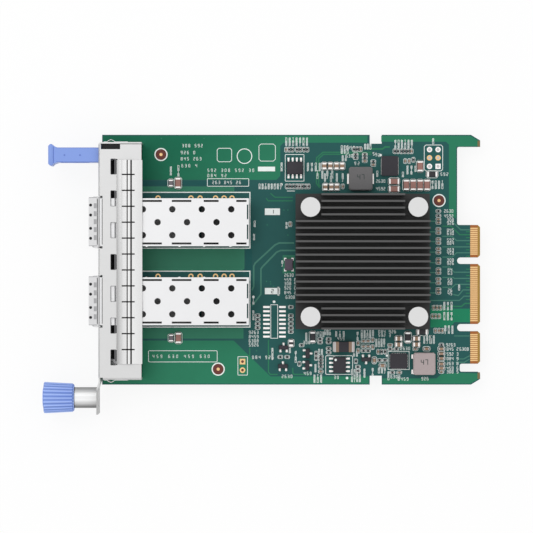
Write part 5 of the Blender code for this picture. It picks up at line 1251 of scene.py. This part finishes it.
def make_flange_shade():
    """Painted shade: a thin black sheet on the board under the flange, and a black pad at the flange's
    corner slot.
    """
    shape = Shape(["shade_black"])
    shape.box(SHADE_SHEET_LOW, SHADE_SHEET_HIGH, "shade_black")
    shape.build("flange_shade_sheet", slot="connector_plastic")
    pad_shade = Shape(["shade_black"], IN_FRAME)
    pad_shade.box(SLOT_SHADE_LOW, SLOT_SHADE_HIGH, "shade_black")
    pad_shade.build("corner_slot_shade", slot="connector_plastic")


# Small forms and painted shade on the sheet metal and the pull tab

FLANGE_TOP = 12.4
SLIT_X = (7.1, 11.0)
SLIT_WIDTH = 0.7
GASKET_FINGERS = 13
GASKET_END_CUT = 0.85
WINDOW_X = (3.8, 5.25)
WINDOW_GAP = 0.22
WINDOW_LINE = 0.12
HOOK_SHADOW = 0.32
COLLAR_TOP = 11.79
FRONT_SHEET = 0.12
FRONT_HALF = 7.35
FRONT_LINE_HALF = 6.9
FRONT_BACK = -0.4
FRONT_LINES = ((FRONT_BACK, FRONT_BACK + 0.2), (1.08, 1.28))
FRONT_LIP = 0.2
FRONT_LIP_RISE = 6.2
FRONT_SIDE_LINE = 0.2
FRONT_DOT_X = -2.3
FRONT_DOTS = (-5.0, -2.0, 2.0, 5.0)
FRONT_DOT_RADIUS = 0.45
COLLAR_WINDOW_X = (-1.35, -0.5)
COLLAR_WINDOW_HALF = 0.75
COLLAR_WINDOWS = (-4.8, -2.4, 0.0, 2.4, 4.8)
COVER_OFFSET = 0.15
MARK_HEIGHT = 0.012
GRIP_LENGTH = 1.5
GRIP_HALF = 3.2
GRIP_CORNER = 0.45
FOLD_SHADE_HALF = 2.5
FOLD_SHADE_WIDTH = 0.24
TAB_LINE_START = 2.4
TAB_LINE_END = -0.2
TAB_LINE_HALF = 0.07
TAB_LINE_OFFSET = 2.1
TAB_MARKS = (-10.3, -5.6)
TAB_MARK_RADIUS = 0.28


def make_gasket_shadows():
    """Painted shade: dark strips on the flange under the gasket's slits, grey lines along the edges of the
    windows for its hooks, and a grey painted shadow under the edge of each hook.
    """
    low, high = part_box("emi_gasket_top")
    shape = Shape(["dark_shade", "window_edge_shade"], IN_FRAME)
    upper = high.y / MM + GASKET_END_CUT / 2
    pitch = ((high.y - low.y) / MM + GASKET_END_CUT) / GASKET_FINGERS
    bottom = FLANGE_TOP + 0.005
    # Dark strips painted as the shade under the slits
    for index in range(1, GASKET_FINGERS):
        y = upper - index * pitch
        near = (SLIT_X[0], y - SLIT_WIDTH / 2, bottom)
        shape.box(near, (SLIT_X[1], y + SLIT_WIDTH / 2, FLANGE_TOP + 0.03), "dark_shade")
    # Grey lines painted as shade along the window edges, and a painted shadow under each hook
    half = (pitch - WINDOW_GAP) / 2
    near, far = WINDOW_X
    for index in range(0, GASKET_FINGERS, 2):
        y = upper - (index + 0.5) * pitch
        edges = (
            (near - WINDOW_LINE, y - half, near, y + half),
            (near, y + half, far, y + half + WINDOW_LINE),
            (near, y - half - WINDOW_LINE, far, y - half),
        )
        for edge in edges:
            shape.prism(rectangle(*edge), bottom, FLANGE_TOP + 0.02, "window_edge_shade")
        shape.box((far - HOOK_SHADOW, y - half, FLANGE_TOP - 0.1), (far, y + half, FLANGE_TOP), "window_edge_shade")
    shape.build("gasket_slit_shadows", slot="connector_plastic")


def make_cage_fronts():
    """The front strip of each cage. Its small holes are dark discs and its spring windows grey patches,
    painted as the shade in them; dark and grey lines are painted shade along its gaps and side edges.
    """
    top = COLLAR_TOP + FRONT_SHEET
    seat = COLLAR_TOP + 0.01
    mark = top + MARK_HEIGHT
    for number in (1, 2):
        shape = Shape(["collar", "dark_shade", "grey_shade"], IN_FRAME)
        low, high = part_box(f"cage_cover_{number}")
        front = low.x / MM
        centre = (low.y + high.y) / 2 / MM + COVER_OFFSET
        start, end = centre - FRONT_HALF, centre + FRONT_HALF
        shape.box((front, start, seat), (FRONT_BACK, end, top), "collar")
        shape.box((front, start, low.z / MM + FRONT_LIP_RISE), (front + FRONT_LIP, end, seat), "collar")
        # Dark discs painted as the shade in the small holes
        for offset in FRONT_DOTS:
            shape.disc((FRONT_DOT_X, centre + offset), FRONT_DOT_RADIUS, top, mark, "dark_shade", 20)
        # Grey patches painted as the shade in the spring windows
        near, far = COLLAR_WINDOW_X
        for offset in COLLAR_WINDOWS:
            y = centre + offset
            shape.box((near, y - COLLAR_WINDOW_HALF, top), (far, y + COLLAR_WINDOW_HALF, mark), "grey_shade")
        # Dark lines painted as the shade along the strip's gaps
        for near, far in FRONT_LINES:
            line_start = (near, centre - FRONT_LINE_HALF, COLLAR_TOP)
            shape.box(line_start, (far, centre + FRONT_LINE_HALF, top), "dark_shade")
        # Grey lines painted as shade along the strip's side edges
        half = FRONT_SIDE_LINE / 2
        for y in (start + half, end - half):
            shape.box((front + half, y - half, top), (FRONT_BACK, y + half, mark), "grey_shade")
        shape.build(f"cage_front_{number}", slot="cage_sheet", smooth_angle=30)


def make_tab_grip():
    """The thick bar at the pull tab's end, a darker line painted as the shade at its fold, and two small
    moulding marks.
    """
    low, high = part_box("pull_tab")
    centre = (low.y + high.y) / 2 / MM
    top = high.z / MM
    front = low.x / MM
    back = front + GRIP_LENGTH
    shape = Shape(["blue", "blue_shade"], IN_FRAME)
    levels = ((top - 0.4, 0.0), (top + 0.1, 0.04), (top + 0.26, 0.3))
    middle = (front + GRIP_LENGTH / 2, centre)
    shape.stack(block_sections(GRIP_LENGTH / 2, GRIP_HALF, GRIP_CORNER, levels, middle), "blue")
    mark = top + MARK_HEIGHT
    # Painted shade along the fold behind the bar
    shape.box((back, centre - FOLD_SHADE_HALF, top), (back + FOLD_SHADE_WIDTH, centre + FOLD_SHADE_HALF, mark), "blue_shade")
    for y in (centre - TAB_LINE_OFFSET, centre + TAB_LINE_OFFSET):
        near = (front + TAB_LINE_START, y - TAB_LINE_HALF, top)
        shape.box(near, (TAB_LINE_END, y + TAB_LINE_HALF, mark), "blue_shade")
    for x in TAB_MARKS:
        shape.disc((x, centre - 0.1), TAB_MARK_RADIUS, top, top + 0.02, "blue_shade", 14)
    shape.build("pull_tab_grip", slot="blue_moulding", smooth_angle=40)


# The board's underside: copper areas, and rows of chip parts by first place, count and step

UNDER_POURS = (
    ("mask_pour", (14.0, -36.8, 44.0, -22.0)),
    ("mask_pour", (14.0, 22.0, 44.0, 36.8)),
    ("mask_mid", (58.0, -19.5, 99.0, 18.5)),
)
UNDER_ROWS = ((60.0, 4.0, 12, 1.9), (60.0, -4.0, 12, 1.9), (62.0, 10.5, 10, 2.1), (62.0, -11.0, 10, 2.1))
UNDER_COLUMN_X = (52.0, 105.0)
UNDER_COLUMN_Y = tuple(12.0 - 2.2 * index for index in range(11))
UNDER_FRAME_START = 2.4
CAGE_PIN_X = (4.0, 13.0, 22.0, 31.0, 40.0)
CAGE_PIN_INSET = 1.5
CAGE_PIN_RING = (0.95, 0.5)
CONNECTOR_ROW = tuple(36.6 + 0.8 * index for index in range(10))
CONNECTOR_PIN_Y = (5.0, 12.0)
CONNECTOR_PIN_RADIUS = 0.22
UNDER_POUR_CORNER = 1.5
UNDER_CHIP_END = 0.36
UNDER_CAP = (0.3, 0.52)
UNDER_BODY = (0.46, 0.46)
UNDER_CHIP_HEIGHT = 0.5


def add_under_chip(shape, x, y, along_y):
    """A small chip part on the underside, with solder at both ends."""
    size = UNDER_CAP[::-1] if along_y else UNDER_CAP
    for offset in (-UNDER_CHIP_END, UNDER_CHIP_END):
        centre = (x, y + offset) if along_y else (x + offset, y)
        shape.plate(centre, size, -UNDER_CHIP_HEIGHT, 0.0, "tin")
    shape.plate((x, y), UNDER_BODY, 0.02 - UNDER_CHIP_HEIGHT, 0.0, "ceramic_tan")


def make_underside():
    """Solder joints, vias, pads, small parts and outlines on the hidden face."""
    names = ["mask_mid", "mask_pour", "silk", "tin", "solder", "gold", "copper_brown", "ceramic_tan"]
    shape = Shape(names, UNDER_BOARD)
    for finish_name, limits in UNDER_POURS:
        shape.prism(rectangle(*limits, UNDER_POUR_CORNER), -POUR, 0.0, finish_name)
    for centre in (*HEADER_PADS, *JUMPER_PADS):
        shape.disc(centre, HEADER_PAD, -PAD, 0.0, "tin", 20)
        shape.disc(centre, JUMPER_HOLE, -PAD - 0.25, -PAD, "solder", 12)
    for centre in FIDUCIALS:
        shape.disc(centre, FIDUCIAL_WELL, -PAD, 0.0, "copper_brown", 32)
        shape.disc(centre, FIDUCIAL_DOT, -PAD - 0.01, -PAD, "gold", 16)
    for x, y, count, step in UNDER_ROWS:
        for index in range(count):
            add_under_chip(shape, x + index * step, y, True)
    for y in UNDER_COLUMN_Y:
        for x in UNDER_COLUMN_X:
            add_under_chip(shape, x, y, False)
    for low_y, high_y in CAGE_FRAMES:
        outline = rectangle(UNDER_FRAME_START, low_y, CAGE_FRAME_X[1], high_y)
        shape.loop(outline, SILK_LINE, -SILK, 0.0, "silk")
        for x in CAGE_PIN_X:
            for y in (low_y + CAGE_PIN_INSET, high_y - CAGE_PIN_INSET):
                shape.ring((x, y), *CAGE_PIN_RING, -PAD, 0.0, "gold", 20)
        for index, x in enumerate(CONNECTOR_ROW):
            centre = (x, low_y + CONNECTOR_PIN_Y[index % 2])
            shape.disc(centre, CONNECTOR_PIN_RADIUS, -PAD, 0.0, "mask_mid", 10)
    for centre in VIAS:
        shape.disc(centre, VIA_RADIUS, -PAD, 0.0, "mask_mid", 10)
    shape.build("underside_details", slot="solder_and_tin")


# Finishes of the CAD pieces that stay as they are, by the start of their names

NODE_FINISHES = {
    "pcb": "mask_dark",
    "bracket": "bracket",
    "emi_gasket": "strip",
    "side_spring": "spring_plain",
    "pull_tab": "blue",
    "thumbscrew_ferrule": "ferrule",
    "thumbscrew_screw": "steel",
    "thumbscrew_knob": "blue_with_flute_shade",
    "bracket_screw": "steel",
    "bracket_nut": "steel",
    "cage_base": "cage_base",
    "cage_cover": "cage",
    "cage_collar": "collar",
    "host_connector": "connector",
    "controller_chip": "epoxy_black",
    "thermal_pad": "gap_pad",
    "heatsink": "anodised",
    "push_pin": "nylon",
}


def dress_cad_nodes():
    for node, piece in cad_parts.items():
        matches = [key for key in NODE_FINISHES if node.startswith(key)]
        if matches:
            piece.data.materials.clear()
            piece.data.materials.append(FINISHES[NODE_FINISHES[max(matches, key=len)]])


# Stage

def make_floor():
    """A white ground: plain for the light it gives, and mostly glowing for what looks at it."""
    mesh = bpy.data.meshes.new("floor")
    low = CAD_BOUNDS[0][2] - FLOOR_GAP
    outline = rectangle(-FLOOR_REACH, -FLOOR_REACH, FLOOR_REACH, FLOOR_REACH)
    mesh.from_pydata([(x, y, low) for x, y in outline], [], [(0, 1, 2, 3)])
    floor = bpy.data.objects.new("floor", mesh)
    bpy.context.scene.collection.objects.link(floor)
    material = bpy.data.materials.new("floor")
    material.use_nodes = True
    tree = material.node_tree
    tree.nodes.clear()
    diffuse = add_node(tree, "ShaderNodeBsdfDiffuse", {"Color": FLOOR_TONE}).outputs["BSDF"]
    white = add_node(tree, "ShaderNodeEmission", {"Strength": 1.0}).outputs["Emission"]
    blend = add_node(tree, "ShaderNodeMixShader", {"Fac": FLOOR_GLOW, 1: diffuse, 2: white})
    rays = tree.nodes.new("ShaderNodeLightPath").outputs
    seen = add_node(tree, "ShaderNodeMath", {0: rays["Is Camera Ray"], 1: rays["Is Glossy Ray"]}, "MAXIMUM")
    values = {0: seen.outputs["Value"], 1: rays["Is Transmission Ray"]}
    any_view = add_node(tree, "ShaderNodeMath", values, "MAXIMUM")
    values = {"Fac": any_view.outputs["Value"], 1: diffuse, 2: blend.outputs["Shader"]}
    choice = add_node(tree, "ShaderNodeMixShader", values)
    add_node(tree, "ShaderNodeOutputMaterial", {"Surface": choice.outputs["Shader"]})
    mesh.materials.append(material)


def make_light():
    """A soft sky, brighter overhead, and one broad lamp at the upper left."""
    world = bpy.data.worlds.new("studio")
    bpy.context.scene.world = world
    world.use_nodes = True
    tree = world.node_tree
    background = tree.nodes["Background"]
    background.inputs["Color"].default_value = (1.0, 1.0, 1.0, 1.0)
    place = tree.nodes.new("ShaderNodeTexCoord").outputs["Generated"]
    split = add_node(tree, "ShaderNodeSeparateXYZ", {"Vector": place})
    values = {"Value": split.outputs["Z"], "From Max": SKY_FULL_FROM, "To Min": SKY_AT_HORIZON}
    ramp = add_node(tree, "ShaderNodeMapRange", values)
    tree.links.new(ramp.outputs["Result"], background.inputs["Strength"])
    data = bpy.data.lights.new("key", "AREA")
    data.shape = "SQUARE"
    data.size = LAMP_SIZE
    data.energy = LAMP_WATTS
    lamp = bpy.data.objects.new("key", data)
    lamp.location = LAMP_PLACE
    direction = Vector(LAMP_TARGET) - lamp.location
    lamp.rotation_euler = direction.to_track_quat("-Z", "Y").to_euler()
    bpy.context.scene.collection.objects.link(lamp)


def make_camera():
    data = bpy.data.cameras.new("camera")
    data.lens = CAMERA_LENS
    data.sensor_width = CAMERA_SENSOR
    data.clip_end = CAMERA_REACH
    camera = bpy.data.objects.new("camera", data)
    camera.location = CAMERA_PLACE
    bpy.context.scene.collection.objects.link(camera)
    bpy.context.scene.camera = camera


make_print_finishes()
make_part_finishes()
make_metal_finishes()
make_blue_finishes()
dress_cad_nodes()
make_mask_layers()
make_card_edge()
make_silkscreen()
make_bare_pads()
make_chip_parts()
make_packages()
make_inductors()
make_fuse()
make_oscillator()
make_springs()
make_flange_shade()
make_gasket_shadows()
make_cage_fronts()
make_tab_grip()
make_underside()
make_floor()
make_light()
make_camera()

bpy.context.scene.view_settings.view_transform = "Standard"
